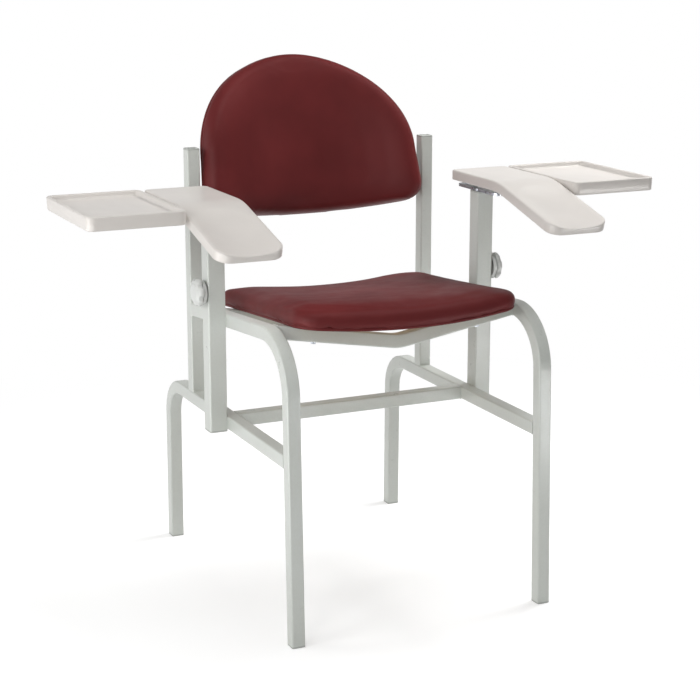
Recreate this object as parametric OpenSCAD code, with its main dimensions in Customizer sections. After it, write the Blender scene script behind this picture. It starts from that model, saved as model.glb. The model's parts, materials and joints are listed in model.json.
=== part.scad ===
// Phlebotomy chair with two height-adjustable arm rests and side trays.
// Millimetres, Z up, the chair faces -Y. The origin is on the floor, under the
// middle of the chair.

/* [Frame tube] */
// Side of the square frame tube
tube = 25; // [22:1:30]
// Wall of the frame tube
tube_wall = 2; // [1.5:0.25:3]
// Outer corner radius of the frame tube
tube_corner = 3; // [2:0.5:4]

/* [Frame] */
// Width over the two side frames
frame_w = 518; // [500:2:560]
// Depth over the feet at the floor
frame_d = 658; // [650:2:700]
// Height of the top of the lower side rails
rail_top = 343; // [320:1:370]
// Height at which the line of the seat rails passes over the front of the feet
seat_line_h = 562; // [550:1:590]
// Slope of the seat rails, falling to the rear, in degrees
seat_slope = 4.9; // [4:0.1:6]
// Backward lean of the front legs, in degrees
front_lean = 1.9; // [1:0.1:3]
// Forward lean of the rear legs, in degrees
rear_lean = 0.8; // [0:0.1:2]
// Centre line radius of the bend between front leg and seat rail
front_bend_r = 98; // [80:1:120]
// Centre line radius of the bend between rear leg and lower rail
rear_bend_r = 67; // [55:1:80]
// Height of the top of the back uprights
upright_h = 815; // [780:1:850]
// From the front of the feet to the front face of the back uprights
upright_y = 490; // [484:1:500]
// From the front of the feet to the front face of the lower cross brace
brace_y = 309; // [250:1:350]

/* [Seat crossbars] */
// Fall of each half of the bent seat crossbars, in degrees
bar_fall = 9.5; // [7:0.1:11]
// Centre line radius of their bend in the middle
bar_bend_r = 80; // [60:1:120]
// From the front of the feet to the front crossbar, along the seat
front_bar_y = 115; // [105:1:125]
// From the front of the feet to the rear crossbar, along the seat
rear_bar_y = 370; // [350:1:400]

/* [Seat] */
// Gap between seat rail and cushion on each side, at the front
seat_front_gap = 12; // [8:1:20]
// Gap between seat rail and cushion on each side, at the rear
seat_rear_gap = 16; // [10:1:24]
// From the front of the feet to the front corners of the seat
seat_front_y = 41; // [30:1:60]
// From the front of the feet to the rear edge of the seat
seat_rear_y = 482; // [460:1:484]
// How far the front edge bows forward in the middle
seat_bow = 16; // [5:1:25]
// Corner radius at the front of the seat
seat_front_r = 47; // [35:1:60]
// Corner radius at the rear of the seat
seat_rear_r = 50; // [35:1:60]
// Height of the spacers between the crossbars and the seat board
seat_spacer = 4.1; // [3:0.1:8]
// How far the seat's sides rise above its middle
seat_dish = 15; // [10:0.5:16]
// Thickness of seat board and cushion together, at the edges
seat_t = 36; // [30:1:45]
// Extra thickness of the cushion in the middle of the front
seat_crown = 8; // [2:1:14]

/* [Backrest] */
// Gap between back upright and backrest on each side, where its arch begins
back_gap = 14; // [8:1:24]
// Extra half width at the bottom corners
back_flare = 5; // [0:1:6]
// Height of the start of the arch above the bottom corners
back_side_h = 106; // [80:1:130]
// Height of the arch
back_arch_h = 211; // [180:1:230]
// How far the bottom edge bows down in the middle
back_sag = 10; // [4:1:20]
// Radius of the bottom corners
back_corner_r = 36; // [25:1:50]
// Thickness of back board and cushion together
back_t = 46; // [40:1:52]
// Depth of the horizontal curve, at the middle of the thickness
back_curve_depth = 81; // [60:1:90]
// Backward lean of the backrest, in degrees
back_recline = 13.5; // [10:0.5:15]
// From the front of the feet to the bottom of the backrest, in its middle
back_y = 538; // [534:1:546]
// From the top of the back uprights down to the bottom of the backrest
back_hang = 143; // [125:1:155]

/* [Boards] */
// Thickness of the moulded plywood boards
board_t = 10; // [8:1:12]
// How far the boards stay inside the outline of their cushions
board_inset = 12; // [10:1:16]

/* [Arm posts] */
// Side of the square outer post
sleeve = 33.5; // [30:0.5:36]
// Wall of the outer post
sleeve_wall = 2; // [1.5:0.25:2.5]
// From the front of the feet to the front face of the outer posts
sleeve_y = 300; // [290:1:310]
// Height of the top face of the post's guide bush
sleeve_top = 727; // [715:1:735]
// Side of the square sliding tube
slide = 25; // [24:0.5:26]
// Height adjustment of the arm rests
arm_travel = 150; // [80:5:160]
// Height of the clamping screw
knob_z = 578; // [570:1:600]

/* [Arm bracket] */
// Thickness of the flat steel of the arm bracket
bracket_t = 5; // [4:0.5:6]
// Width of the strip along the arm rest
strip_w = 26; // [22:1:32]
// Width of the strip under the tray
tray_strip_w = 30; // [24:1:36]
// From the front of the feet to the front end of the strip
strip_front_y = 240; // [230:1:250]
// From the front of the feet to the rear end of the strip
strip_rear_y = 395; // [385:1:400]

/* [Arm rest] */
// Width of the arm rest
pad_w = 122; // [110:1:130]
// How far the arm rest reaches in over the side frame
pad_lap = 5; // [3:1:12]
// From the front of the feet to the front edge of the arm rest
pad_front_y = 17; // [5:1:40]
// From the front of the feet to the rear edge of the arm rest
pad_rear_y = 405; // [400:1:420]
// Height of the flat top of the arm rest
pad_top = 758; // [756:1:762]
// Thickness of the arm rest's rim
pad_t = 19.4; // [17:0.2:21]
// Fall of the front part of the arm rest, in degrees
pad_fall = 15; // [10:0.5:18]
// From the front of the feet to the start of the fall
pad_bend_y = 217; // [200:1:225]
// Radius of the bend on the top of the arm rest
pad_bend_r = 200; // [100:5:240]
// Corner radius at the front of the arm rest
pad_front_r = 27; // [20:1:35]
// Corner radius at the rear of the arm rest
pad_rear_r = 12; // [8:1:20]
// Depth of the trough for the forearm
trough_depth = 8; // [5:0.5:9]
// Width of the trough
trough_w = 105; // [85:1:108]

/* [Tray] */
// Width of the tray
tray_w = 176; // [150:1:200]
// Length of the tray
tray_l = 262; // [230:1:280]
// Height of the tray's wall
tray_h = 25; // [23:0.5:26]
// Gap between arm rest and tray
tray_gap = 5; // [4:0.5:10]
// From the front of the feet to the front of the tray
tray_front_y = 147; // [140:1:160]
// Corner radius of the tray
tray_corner_r = 14; // [10:1:20]
// Width of the tray's rim
tray_rim = 8; // [6:0.5:10]
// Depth of the tray
tray_depth = 9; // [6:0.5:11]

/* [Mouldings] */
// Wall of the moulded arm rests and trays
skin = 4; // [3:0.25:5]
// Diameter of the screw bosses inside them
boss_d = 16; // [13:1:18]

/* [Clamping knob] */
// Diameter of the knob's grip
knob_d = 53; // [46:1:58]
// Number of finger notches round the grip
knob_notches = 6; // [5:1:8]
// Radius of a notch
notch_r = 7.5; // [5:0.5:9]
// Depth of a notch
notch_depth = 4.5; // [3:0.5:6]
// Diameter of the round skirt behind the grip
skirt_d = 43; // [38:1:45]
// Length of the skirt
skirt_l = 8; // [6:0.5:9]
// Length of skirt and grip together, to the edge of the dome
knob_l = 18; // [15:0.5:22]
// Height of its domed face
knob_dome = 3; // [2:0.5:5]

/* [Fasteners] */
// Diameter of the clamping screw
clamp_d = 8; // [6:1:8]
// Diameter of the fixing screws
screw_d = 6; // [5:0.5:6]
// Height of the fixing screws' heads
screw_head_h = 3.5; // [3:0.25:4]

/* [Plastic ends] */
// Thickness of the visible flange of plugs and caps
flange_t = 3; // [2:0.5:4]
// Length of the stems inside the tubes
stem_l = 18; // [12:1:24]

/* [Hidden] */

// Overrun of every cut past the face that it opens
over = 1;
// A bend's wall is thinner by this much on each face, and the straight lengths
// close over its ends for this length
bend_slack = 0.02;
bend_lap = 0.3;
// Reach of the blocks that trim a long piece
reach = 2 * frame_d;
// Air between a soft piece and its neighbour
soft_gap = 0.3;
// Play of a sliding plastic guide, on each side
guide_gap = 0.2;
// Play of a screw in its thread or bore, on the diameter
screw_gap = 0.1;
// Extra diameter of a clearance hole
hole_play = 0.6;
// Facets of the true round pieces
$fn = 64;
// Facets of the tubes' small corners
corner_fn = 32;
// Facets of the large shallow curves
wide_fn = 240;

frame_colour = "#c9ccc6";
shell_colour = "#d6d1cb";
vinyl_colour = "#632d2d";
steel_colour = "#b9bcc0";
plastic_colour = "#c2c5c0";
plywood_colour = "#c8a878";

// Middles and faces of the side frames
frame_half = frame_w / 2;
side_x = frame_half - tube / 2;
rail_in = frame_half - tube;
post_x = frame_half + sleeve / 2;
post_y = sleeve_y + sleeve / 2;
post_foot = rail_top - tube;
seat_front_w = 2 * (rail_in - seat_front_gap);
seat_rear_w = 2 * (rail_in - seat_rear_gap);
back_z = upright_h - back_hang;
back_half_w = rail_in - back_gap;
back_curve_r = (pow(back_half_w, 2) + pow(back_curve_depth, 2)) / (2 * back_curve_depth);
pad_in = frame_half - pad_lap;

// A square with round corners, centred
module round_square(side, corner) {
    inner = side - 2 * corner;
    square([inner, side], center = true);
    square([side, inner], center = true);
    for (sx = [-1, 1], sy = [-1, 1])
        translate([sx * inner / 2, sy * inner / 2]) circle(corner, $fn = corner_fn);
}

// A rectangle with its own radius at the front (low y) and rear corners
module round_rectangle(x0, x1, y0, y1, r_front, r_rear) {
    translate([x0, y0 + r_front]) square([x1 - x0, y1 - y0 - r_front - r_rear]);
    translate([x0 + r_front, y0]) square([x1 - x0 - 2 * r_front, y1 - y0 - r_rear]);
    translate([x0 + r_rear, y0 + r_front]) square([x1 - x0 - 2 * r_rear, y1 - y0 - r_front]);
    for (x = [x0 + r_front, x1 - r_front]) translate([x, y0 + r_front]) circle(r_front);
    for (x = [x0 + r_rear, x1 - r_rear]) translate([x, y1 - r_rear]) circle(r_rear);
}

// A slot with round ends between two places along x
module slot_outline(x0, x1, w) {
    translate([x0, -w / 2]) square([x1 - x0, w]);
    for (x = [x0, x1]) translate([x, 0]) circle(d = w);
}

module tube_ring(side, wall, corner) {
    difference() {
        round_square(side, corner);
        round_square(side - 2 * wall, max(corner - wall, wall / 2));
    }
}

module frame_ring() tube_ring(tube, tube_wall, tube_corner);

// Moves a piece drawn from the front of the feet to the chair's own frame
module from_front() translate([0, -frame_d / 2, 0]) children();

// Draws a piece of the right arm (+X) there, or mirrored at the left
module on_side(s) mirror([s < 0 ? 1 : 0, 0, 0]) children();

// A straight length of frame tube that closes over the end of its bend
module straight(l) translate([0, 0, -bend_lap]) linear_extrude(l + bend_lap) frame_ring();

// A tube bent through `turn` degrees round the z axis, with a straight length at
// each end; the first runs along -Y
module bent_tube(before, after, r, turn) {
    rotate_extrude(angle = turn) translate([r, 0])
        tube_ring(tube - 2 * bend_slack, tube_wall - 2 * bend_slack, tube_corner - bend_slack);
    translate([r, 0, 0]) rotate([90, 0, 0]) straight(before);
    rotate([0, 0, turn]) translate([r, 0, 0]) rotate([-90, 0, 0]) straight(after);
}

// Front leg and seat rail. Y and Z of the corner where their centre lines meet,
// then of the bend's centre.
front_turn = 90 + seat_slope - front_lean;
front_reach = front_bend_r * tan(front_turn / 2);
leg_line_y = tube / 2 / cos(front_lean);
rail_line_z = seat_line_h - tube / 2 / cos(seat_slope);
corner_z = (rail_line_z - leg_line_y * tan(seat_slope)) / (1 + tan(front_lean) * tan(seat_slope));
corner_y = leg_line_y + corner_z * tan(front_lean);
leg_tangent_z = corner_z - front_reach * cos(front_lean);
front_bend_y = corner_y - front_reach * sin(front_lean) + front_bend_r * cos(front_lean);
front_bend_z = leg_tangent_z - front_bend_r * sin(front_lean);

// Everything behind the plane of the back uprights' front faces
module behind_uprights() translate([-reach / 2, upright_y, 0]) cube([reach, reach, reach]);

module front_leg_and_seat_rail(s) {
    leg = leg_tangent_z / cos(front_lean);
    color(frame_colour) from_front() difference() {
        translate([s * side_x, front_bend_y, front_bend_z]) rotate([90, 0, 90])
            rotate([0, 0, 90 - seat_slope]) bent_tube(upright_y, leg, front_bend_r, front_turn);
        behind_uprights();
        translate([-reach / 2, -reach / 2, flange_t - reach]) cube([reach, reach, reach]);
    }
}

// Rear leg and lower side rail
rear_turn = 90 - rear_lean;
rear_reach = rear_bend_r * tan(rear_turn / 2);
rear_corner_z = rail_top - tube / 2;
rear_corner_y = frame_d - tube / 2 / cos(rear_lean) - rear_corner_z * tan(rear_lean);
rear_tangent_z = rear_corner_z - rear_reach * cos(rear_lean);
rear_bend_y = rear_corner_y - rear_reach;

// The block in front of the plane of the front legs' rear faces
module before_front_legs()
    rotate([-front_lean, 0, 0]) translate([-reach / 2, tube - reach, -reach / 2])
        cube([reach, reach, reach]);

module rear_leg_and_rail(s) {
    leg = rear_tangent_z / cos(rear_lean);
    color(frame_colour) from_front() difference() {
        translate([s * side_x, rear_bend_y, rear_corner_z - rear_bend_r]) rotate([90, 0, 90])
            rotate([0, 0, rear_lean]) bent_tube(leg, rear_bend_y, rear_bend_r, rear_turn);
        before_front_legs();
        translate([-reach / 2, -reach / 2, flange_t - reach]) cube([reach, reach, reach]);
    }
}

module back_upright(s)
    color(frame_colour) from_front()
        translate([s * side_x, upright_y + tube / 2, rail_top])
            linear_extrude(upright_h - flange_t - rail_top) frame_ring();

module lower_cross_brace()
    color(frame_colour) from_front()
        translate([-rail_in, brace_y + tube / 2, rail_top - tube / 2]) rotate([90, 0, 90])
            linear_extrude(2 * rail_in) frame_ring();

// The seat's own frame: x across, y along the seat rails, z square to them, with
// z = 0 on the line of the rail tops
module seat_frame() from_front() translate([0, 0, seat_line_h]) rotate([-seat_slope, 0, 0]) children();

// Centre line of a bent crossbar: height of the corner of its two halves, and
// of the centre of its bend
bar_corner_z = -rail_in * tan(bar_fall) - tube / 2 / cos(bar_fall);
bar_bend_z = bar_corner_z + bar_bend_r / cos(bar_fall);
bar_half_l = (rail_in - bar_bend_r * sin(bar_fall)) / cos(bar_fall) + tube;

// Place of the seat bolts along each half of the bar, as a share of it
seat_bolt_share = 0.64;
seat_bolt_run = seat_bolt_share * rail_in;

module bar_hole(side) {
    rotate([0, 0, side > 0 ? bar_fall : -bar_fall])
        translate([side * seat_bolt_run, -bar_bend_r - tube, 0]) rotate([-90, 0, 0])
            cylinder(d = screw_d + hole_play, h = 2 * tube);
}

module seat_crossbar(y)
    color(frame_colour) seat_frame() difference() {
        translate([0, y + tube / 2, bar_bend_z]) rotate([90, 0, 0]) difference() {
            rotate([0, 0, 270 - bar_fall])
                bent_tube(bar_half_l, bar_half_l, bar_bend_r, 2 * bar_fall);
            for (side = [-1, 1]) bar_hole(side);
        }
        for (side = [-1, 1])
            translate([side > 0 ? rail_in : -rail_in - reach, 0, -reach / 2]) cube([reach, reach, reach]);
    }

// Outlines of the cushions, counter-clockwise
corner_steps = 6;
function arc(cx, cy, r, a0, a1, n) =
    [for (i = [0:n]) let(a = a0 + (a1 - a0) * i / n) [cx + r * cos(a), cy + r * sin(a)]];

edge_steps = 8;
seat_half_f = seat_front_w / 2;
seat_half_r = seat_rear_w / 2;
function seat_outline() = concat(
    arc(seat_half_r - seat_rear_r, seat_rear_y - seat_rear_r, seat_rear_r, 0, 90, corner_steps),
    [for (i = [1:edge_steps - 1])
        [(seat_half_r - seat_rear_r) * (1 - 2 * i / edge_steps), seat_rear_y]],
    arc(-seat_half_r + seat_rear_r, seat_rear_y - seat_rear_r, seat_rear_r, 90, 180, corner_steps),
    [for (i = [1:edge_steps - 1]) let(t = i / edge_steps)
        [-seat_half_r + (seat_half_r - seat_half_f) * t,
         seat_rear_y - seat_rear_r + (seat_front_y + seat_front_r - seat_rear_y + seat_rear_r) * t]],
    arc(-seat_half_f + seat_front_r, seat_front_y + seat_front_r, seat_front_r, 180, 270, corner_steps),
    [for (i = [1:edge_steps - 1]) let(t = 2 * i / edge_steps - 1)
        [(seat_half_f - seat_front_r) * t, seat_front_y - seat_bow * (1 - t * t)]],
    arc(seat_half_f - seat_front_r, seat_front_y + seat_front_r, seat_front_r, 270, 360, corner_steps),
    [for (i = [1:edge_steps - 1]) let(t = i / edge_steps)
        [seat_half_f + (seat_half_r - seat_half_f) * t,
         seat_front_y + seat_front_r + (seat_rear_y - seat_rear_r - seat_front_y - seat_front_r) * t]]);

arch_steps = 32;
back_low_half = back_half_w + back_flare;
function back_outline() = concat(
    [for (i = [0:arch_steps]) let(a = 180 * i / arch_steps)
        [back_half_w * cos(a), back_side_h + back_arch_h * sin(a)]],
    [[-(back_half_w + back_low_half) / 2, (back_side_h + back_corner_r) / 2]],
    arc(-back_low_half + back_corner_r, back_corner_r, back_corner_r, 180, 270, corner_steps),
    [for (i = [1:2 * edge_steps - 1]) let(t = i / edge_steps - 1)
        [(back_low_half - back_corner_r) * t, -back_sag * (1 - t * t)]],
    arc(back_low_half - back_corner_r, back_corner_r, back_corner_r, 270, 360, corner_steps),
    [[(back_half_w + back_low_half) / 2, (back_side_h + back_corner_r) / 2]]);

// A point of an outline drawn in towards a centre: by a share, then by a length
function drawn_in(p, c, share, inset) =
    let(d = p - c, l = norm(d)) c + d * share * (1 - inset / l);
function inset_outline(pts, c, inset) = [for (p = pts) drawn_in(p, c, 1, inset)];

seat_centre = [0, (seat_front_y + seat_rear_y) / 2];
back_centre = [0, back_side_h];

// Height of the seat's lower face over its lowest point, and of the cushion's
// extra fullness, which fades to the rear
function seat_rise(x) = seat_dish * pow(x / seat_half_f, 2);
function seat_fullness(x, y) =
    seat_crown * (1 - pow(x / seat_half_f, 2)) * (seat_rear_y - y) / (seat_rear_y - seat_front_y);

// A closed padded form. Each ring is [share, inset, depth]; place(x, y, depth)
// puts a point in space.
module padded_form(outline, centre, rings, place) {
    n = len(outline);
    m = len(rings);
    ends = [rings[0], rings[m - 1]];
    points = concat(
        [for (r = rings) for (p = outline) let(q = drawn_in(p, centre, r[0], r[1])) place(q[0], q[1], r[2])],
        [for (e = ends) place(centre[0], centre[1], e[2])]);
    faces = concat(
        [for (j = [0:n - 1]) [m * n, (j + 1) % n, j]],
        [for (i = [0:m - 2], j = [0:n - 1]) let(k = (j + 1) % n) [i * n + j, i * n + k, (i + 1) * n + k]],
        [for (i = [0:m - 2], j = [0:n - 1]) let(k = (j + 1) % n) [i * n + j, (i + 1) * n + k, (i + 1) * n + j]],
        [for (j = [0:n - 1]) [m * n + 1, (m - 1) * n + j, (m - 1) * n + (j + 1) % n]]);
    polyhedron(points, faces, convexity = 4);
}

// Rings of a cushion of thickness t over a board of thickness b, from the
// middle of its face, round the rim and under it to the board
rim_share = 0.10;
function cushion_rings(t, b, inset) = [
    [0.35, 0, t], [0.70, 0, t - t * 0.02],
    [1, inset * 2.4, t - t * 0.07], [1, inset * 1.2, t - t * 0.16],
    [1, inset * 0.45, t - t * 0.32], [1, inset * 0.08, t - t * 0.52],
    [1, 0, t - t * 0.66], [1, inset * 0.18, t * rim_share],
    [1, inset * 0.55, 0], [1, inset - soft_gap, 0], [1, inset - soft_gap, b + soft_gap],
    [0.5, 0, b + soft_gap]];

// Where the seat bolts stand, and the top of the bar there
bolt_x = seat_bolt_run * cos(bar_fall) + bar_bend_r * sin(bar_fall);
bar_top_z = -(rail_in - bolt_x) * tan(bar_fall);
board_low_z = bar_top_z + seat_spacer;
seat_z = board_low_z - seat_rise(bolt_x);
function seat_place(x, y, d) =
    [x, y, seat_z + seat_rise(x) + d + (d > board_t + 2 * soft_gap
        ? seat_fullness(x, y) * (d - board_t) / (seat_t - board_t) : 0)];

// The radius of the curve of the moulded seat board's lower face
seat_curve_r = (seat_half_f * seat_half_f + seat_dish * seat_dish) / (2 * seat_dish);

module seat_board_block()
    translate([0, 0, seat_z + seat_curve_r]) rotate([-90, 0, 0]) difference() {
        cylinder(r = seat_curve_r, h = reach, $fn = wide_fn * 4);
        translate([0, 0, -over]) cylinder(r = seat_curve_r - board_t, h = reach + 2 * over, $fn = wide_fn * 4);
    }

module seat_board()
    color(plywood_colour) seat_frame() difference() {
        intersection() {
            seat_board_block();
            translate([0, 0, seat_z - over]) linear_extrude(seat_dish + 2 * board_t)
                polygon(inset_outline(seat_outline(), seat_centre, board_inset));
        }
        for (y = [front_bar_y, rear_bar_y], side = [-1, 1]) seat_fixing(y, side) tee_nut_room();
    }

module seat_cushion()
    color(vinyl_colour) seat_frame()
        padded_form(seat_outline(), seat_centre, cushion_rings(seat_t, board_t, board_inset),
            function(x, y, d) seat_place(x, y, d));

// The line of a seat bolt, square to the half of the bar that it passes through;
// z = 0 on the lower face of the bar
module seat_fixing(y, side)
    translate([0, y + tube / 2, bar_bend_z]) rotate([0, side > 0 ? -bar_fall : bar_fall, 0])
        translate([side * seat_bolt_run, 0, -bar_bend_r - tube / 2]) children();

// Tee nuts: flange and barrel
tee_flange_d = 18;
tee_flange_t = 1.2;
// Depth of its upper face below the board's, and the air under it
tee_sink = 0.9;
tee_air = 0.15;
tee_barrel_d = screw_d + 2;

board_slope = asin(bolt_x / seat_curve_r);
seat_bolt_l = tube + seat_spacer + board_t - tee_flange_t - tee_sink;

// Room for a tee nut in a board, and the nut; both have the flange at the top
module tee_nut_room() {
    cylinder(d = tee_barrel_d + screw_gap, h = reach / 8);
    translate([0, 0, tube + seat_spacer + board_t - tee_flange_t - tee_sink - tee_air])
        cylinder(d = tee_flange_d + 2 * soft_gap, h = board_t);
}

// The spacers' tops are cut to the slope of the board at the bolts
module seat_spacers()
    color(plastic_colour) seat_frame()
        for (y = [front_bar_y, rear_bar_y], side = [-1, 1]) difference() {
            seat_fixing(y, side) translate([0, 0, tube]) difference() {
                cylinder(d = tube - tube_corner, h = seat_spacer + tube_corner);
                translate([0, 0, -over]) cylinder(d = screw_d + hole_play, h = tube);
            }
            translate([side * bolt_x, 0, board_low_z - guide_gap / 2])
                rotate([0, -side * board_slope, 0])
                    translate([-reach / 2, 0, 0]) cube([reach, reach, reach]);
        }

module hex_bolt(l) {
    translate([0, 0, -screw_head_h]) cylinder(d = 1.7 * screw_d, h = screw_head_h, $fn = 6);
    cylinder(d = screw_d, h = l);
}

module seat_bolts()
    color(steel_colour) seat_frame()
        for (y = [front_bar_y, rear_bar_y], side = [-1, 1]) seat_fixing(y, side) hex_bolt(seat_bolt_l);

module tee_nut(l) {
    difference() {
        union() {
            translate([0, 0, -l]) cylinder(d = tee_barrel_d, h = l);
            cylinder(d = tee_flange_d, h = tee_flange_t);
        }
        translate([0, 0, -l - over]) cylinder(d = screw_d + screw_gap, h = l + tee_flange_t + 2 * over);
    }
}

module seat_tee_nuts()
    color(steel_colour) seat_frame()
        for (y = [front_bar_y, rear_bar_y], side = [-1, 1]) seat_fixing(y, side)
            translate([0, 0, tube + seat_spacer + board_t - tee_flange_t - tee_sink])
                tee_nut(board_t - 2 * tee_flange_t - tee_sink);

// The backrest's own frame: x across, y to the rear, z up along the back, with
// its origin at the bottom of the middle of the thickness
module back_frame() from_front() translate([0, back_y, back_z]) rotate([-back_recline, 0, 0]) children();

// A point of the curved back: depth 0 is its rear face
function back_place(x, z, d) =
    let(a = asin(x / back_curve_r), r = back_curve_r + back_t / 2 - d)
        [r * sin(a), r * cos(a) - back_curve_r, z];

back_rear_r = back_curve_r + back_t / 2;

// A curved wall between two radii of the back's curve
module back_wall(r_in, r_out)
    translate([0, -back_curve_r, -reach / 2]) difference() {
        cylinder(r = r_out, h = reach, $fn = wide_fn);
        translate([0, 0, -over]) cylinder(r = r_in, h = reach + 2 * over, $fn = wide_fn);
    }

// The back board's outline, spread from the middle of the thickness to its own
// radius, so that its edge runs beside the cushion's
module back_board()
    color(plywood_colour) back_frame() difference() {
        intersection() {
            back_wall(back_rear_r - board_t, back_rear_r);
            rotate([90, 0, 0]) translate([0, 0, -reach / 2])
                linear_extrude(reach) polygon(inset_outline(back_outline(), back_centre, board_inset));
            translate([-reach / 2, -back_curve_r, -reach / 2]) cube([reach, reach, reach]);
        }
        for (a = [-plate_angle, plate_angle], z = back_bolt_zs) back_fixing(a, z) back_nut_room();
    }

module back_cushion()
    color(vinyl_colour) back_frame()
        padded_form(back_outline(), back_centre, back_rings(),
            function(x, z, d) back_cushion_place(x, z, d));

// The recess for the board is parallel to the board's straight edge, so its
// points keep the board's own width while the rest of the cushion fans out
function back_rings() = cushion_rings(back_t, board_t, board_inset);
function back_cushion_place(x, z, d) = back_place(x, z, d);

// Back crossbar: a rolled tube with its own centre, clear of the board's rear
bar_rise = 28;
bar_z = back_z + bar_rise;
bar_clear = 8;
// The bar's radius is larger than the board's by its clearance and by this much
bar_ease = 2;
board_rear_h = (bar_z + tube - back_z + back_t / 2 * sin(back_recline)) / cos(back_recline);
board_rear_y = back_y + back_t / 2 * cos(back_recline) + board_rear_h * sin(back_recline);
bar_front_r = back_rear_r + bar_clear + bar_ease;
bar_centre_y = board_rear_y + bar_clear - bar_front_r;

// Mount plates: their place round the back's curve, size and bolts
plate_angle = 15;
plate_spread = 5;
plate_t = 4;
plate_gap = 0.1;
plate_low = 12;
plate_h = 80;
back_bolt_inset = 12;
back_bolt_zs = [plate_low + back_bolt_inset, plate_low + plate_h - back_bolt_inset];
saddle_spread = 3;

module back_crossbar()
    color(frame_colour) from_front() difference() {
        translate([0, bar_centre_y, bar_z + tube / 2])
            rotate([0, 0, 90 - bar_sweep]) rotate_extrude(angle = 2 * bar_sweep, $fn = wide_fn)
                translate([bar_front_r + tube / 2, 0]) frame_ring();
        for (s = [-1, 1])
            translate([s > 0 ? rail_in : -rail_in - reach, upright_y + tube - reach, 0])
                cube([reach, reach, reach]);
    }
bar_sweep = asin(frame_half / (bar_front_r + tube / 2)) + plate_spread;

// A sector of a ring between two radii, in the X-Y plane round the origin
module ring_sector(r_in, r_out, middle, spread, h)
    rotate([0, 0, middle - spread]) rotate_extrude(angle = 2 * spread, $fn = wide_fn)
        translate([r_in, 0]) square([r_out - r_in, h]);

module back_mount_plates()
    color(frame_colour) {
        for (a = [-plate_angle, plate_angle]) {
            difference() {
                union() {
                    back_frame() translate([0, -back_curve_r, plate_low])
                        ring_sector(back_rear_r + plate_gap, back_rear_r + plate_t, 90 + a, plate_spread, plate_h);
                    saddle(a);
                }
                back_frame() for (z = back_bolt_zs) back_fixing(a, z)
                    translate([0, 0, -over]) cylinder(d = screw_d + hole_play, h = 2 * plate_t);
            }
        }
    }

module saddle(a)
    difference() {
        from_front() translate([0, bar_centre_y, bar_z + tube_corner])
            ring_sector(back_rear_r - tube, bar_front_r - plate_gap, 90 + a, saddle_spread,
                tube - 2 * tube_corner);
        back_frame() translate([0, -back_curve_r, -reach / 2])
            cylinder(r = back_rear_r + plate_t / 2, h = reach, $fn = wide_fn);
    }

// A back bolt's line: z = 0 on the rear face of its plate, pointing inwards
module back_fixing(a, z)
    translate([0, -back_curve_r, z]) rotate([0, 0, a]) translate([0, back_rear_r + plate_t, 0])
        rotate([90, 0, 0]) children();

module back_nut_room() {
    cylinder(d = tee_barrel_d + screw_gap, h = 2 * board_t);
    translate([0, 0, plate_t + board_t - tee_flange_t - tee_sink - tee_air])
        cylinder(d = tee_flange_d + 2 * soft_gap, h = board_t);
}

module back_bolts()
    color(steel_colour) back_frame()
        for (a = [-plate_angle, plate_angle], z = back_bolt_zs) back_fixing(a, z)
            hex_bolt(plate_t + board_t - tee_flange_t - tee_sink);

module back_tee_nuts()
    color(steel_colour) back_frame()
        for (a = [-plate_angle, plate_angle], z = back_bolt_zs) back_fixing(a, z)
            translate([0, 0, plate_t + board_t - tee_flange_t - tee_sink])
                tee_nut(board_t - 2 * tee_flange_t - tee_sink);

// Plastic ends
module foot_plug(s, y, lean) {
    translate([s * side_x, y, 0]) linear_extrude(flange_t) round_square(tube, tube_corner);
    translate([s * side_x, y, 0]) rotate([lean, 0, 0]) translate([0, 0, flange_t / 2])
        linear_extrude(stem_l) round_square(tube - 2 * tube_wall - 2 * guide_gap, tube_wall);
}

module front_foot_plugs()
    color(plastic_colour) from_front() for (s = [-1, 1]) foot_plug(s, tube / 2, -front_lean);

module rear_foot_plugs()
    color(plastic_colour) from_front() for (s = [-1, 1]) foot_plug(s, frame_d - tube / 2, rear_lean);

module upright_caps()
    color(plastic_colour) from_front() for (s = [-1, 1])
        translate([s * side_x, upright_y + tube / 2, upright_h - flange_t]) {
            linear_extrude(flange_t) round_square(tube, tube_corner);
            translate([0, 0, -stem_l]) linear_extrude(stem_l + flange_t / 2)
                round_square(tube - 2 * tube_wall - 2 * guide_gap, tube_wall);
        }

module post_bottom_caps()
    color(plastic_colour) from_front() for (s = [-1, 1])
        translate([s * post_x, post_y, post_foot - flange_t]) {
            linear_extrude(flange_t) round_square(sleeve, tube_corner);
            linear_extrude(stem_l) round_square(sleeve - 2 * sleeve_wall - 2 * guide_gap, tube_wall);
        }

// Arm posts, drawn at the right and mirrored
sleeve_bore = sleeve - 2 * sleeve_wall;
bush_flange = flange_t;
clamp_bore = clamp_d + screw_gap;

// The line of the clamping screw: z = 0 on the post's outer face, pointing out
module clamp_line() translate([post_x + sleeve / 2, post_y, knob_z]) rotate([0, 90, 0]) children();

module arm_post(s)
    color(frame_colour) from_front() on_side(s) difference() {
        translate([post_x, post_y, post_foot]) linear_extrude(sleeve_top - bush_flange - post_foot)
            tube_ring(sleeve, sleeve_wall, tube_corner);
        clamp_line() translate([0, 0, -sleeve / 2]) cylinder(d = clamp_d + hole_play, h = sleeve);
    }

module post_bush(s)
    color(plastic_colour) from_front() on_side(s)
        translate([post_x, post_y, sleeve_top - bush_flange]) difference() {
            union() {
                linear_extrude(bush_flange) round_square(sleeve, tube_corner);
                translate([0, 0, -stem_l]) linear_extrude(stem_l + bush_flange / 2)
                    round_square(sleeve_bore - screw_gap, tube_wall);
            }
            translate([0, 0, -stem_l - over]) linear_extrude(stem_l + bush_flange + 2 * over)
                round_square(slide + 2 * guide_gap, tube_corner);
        }

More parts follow.
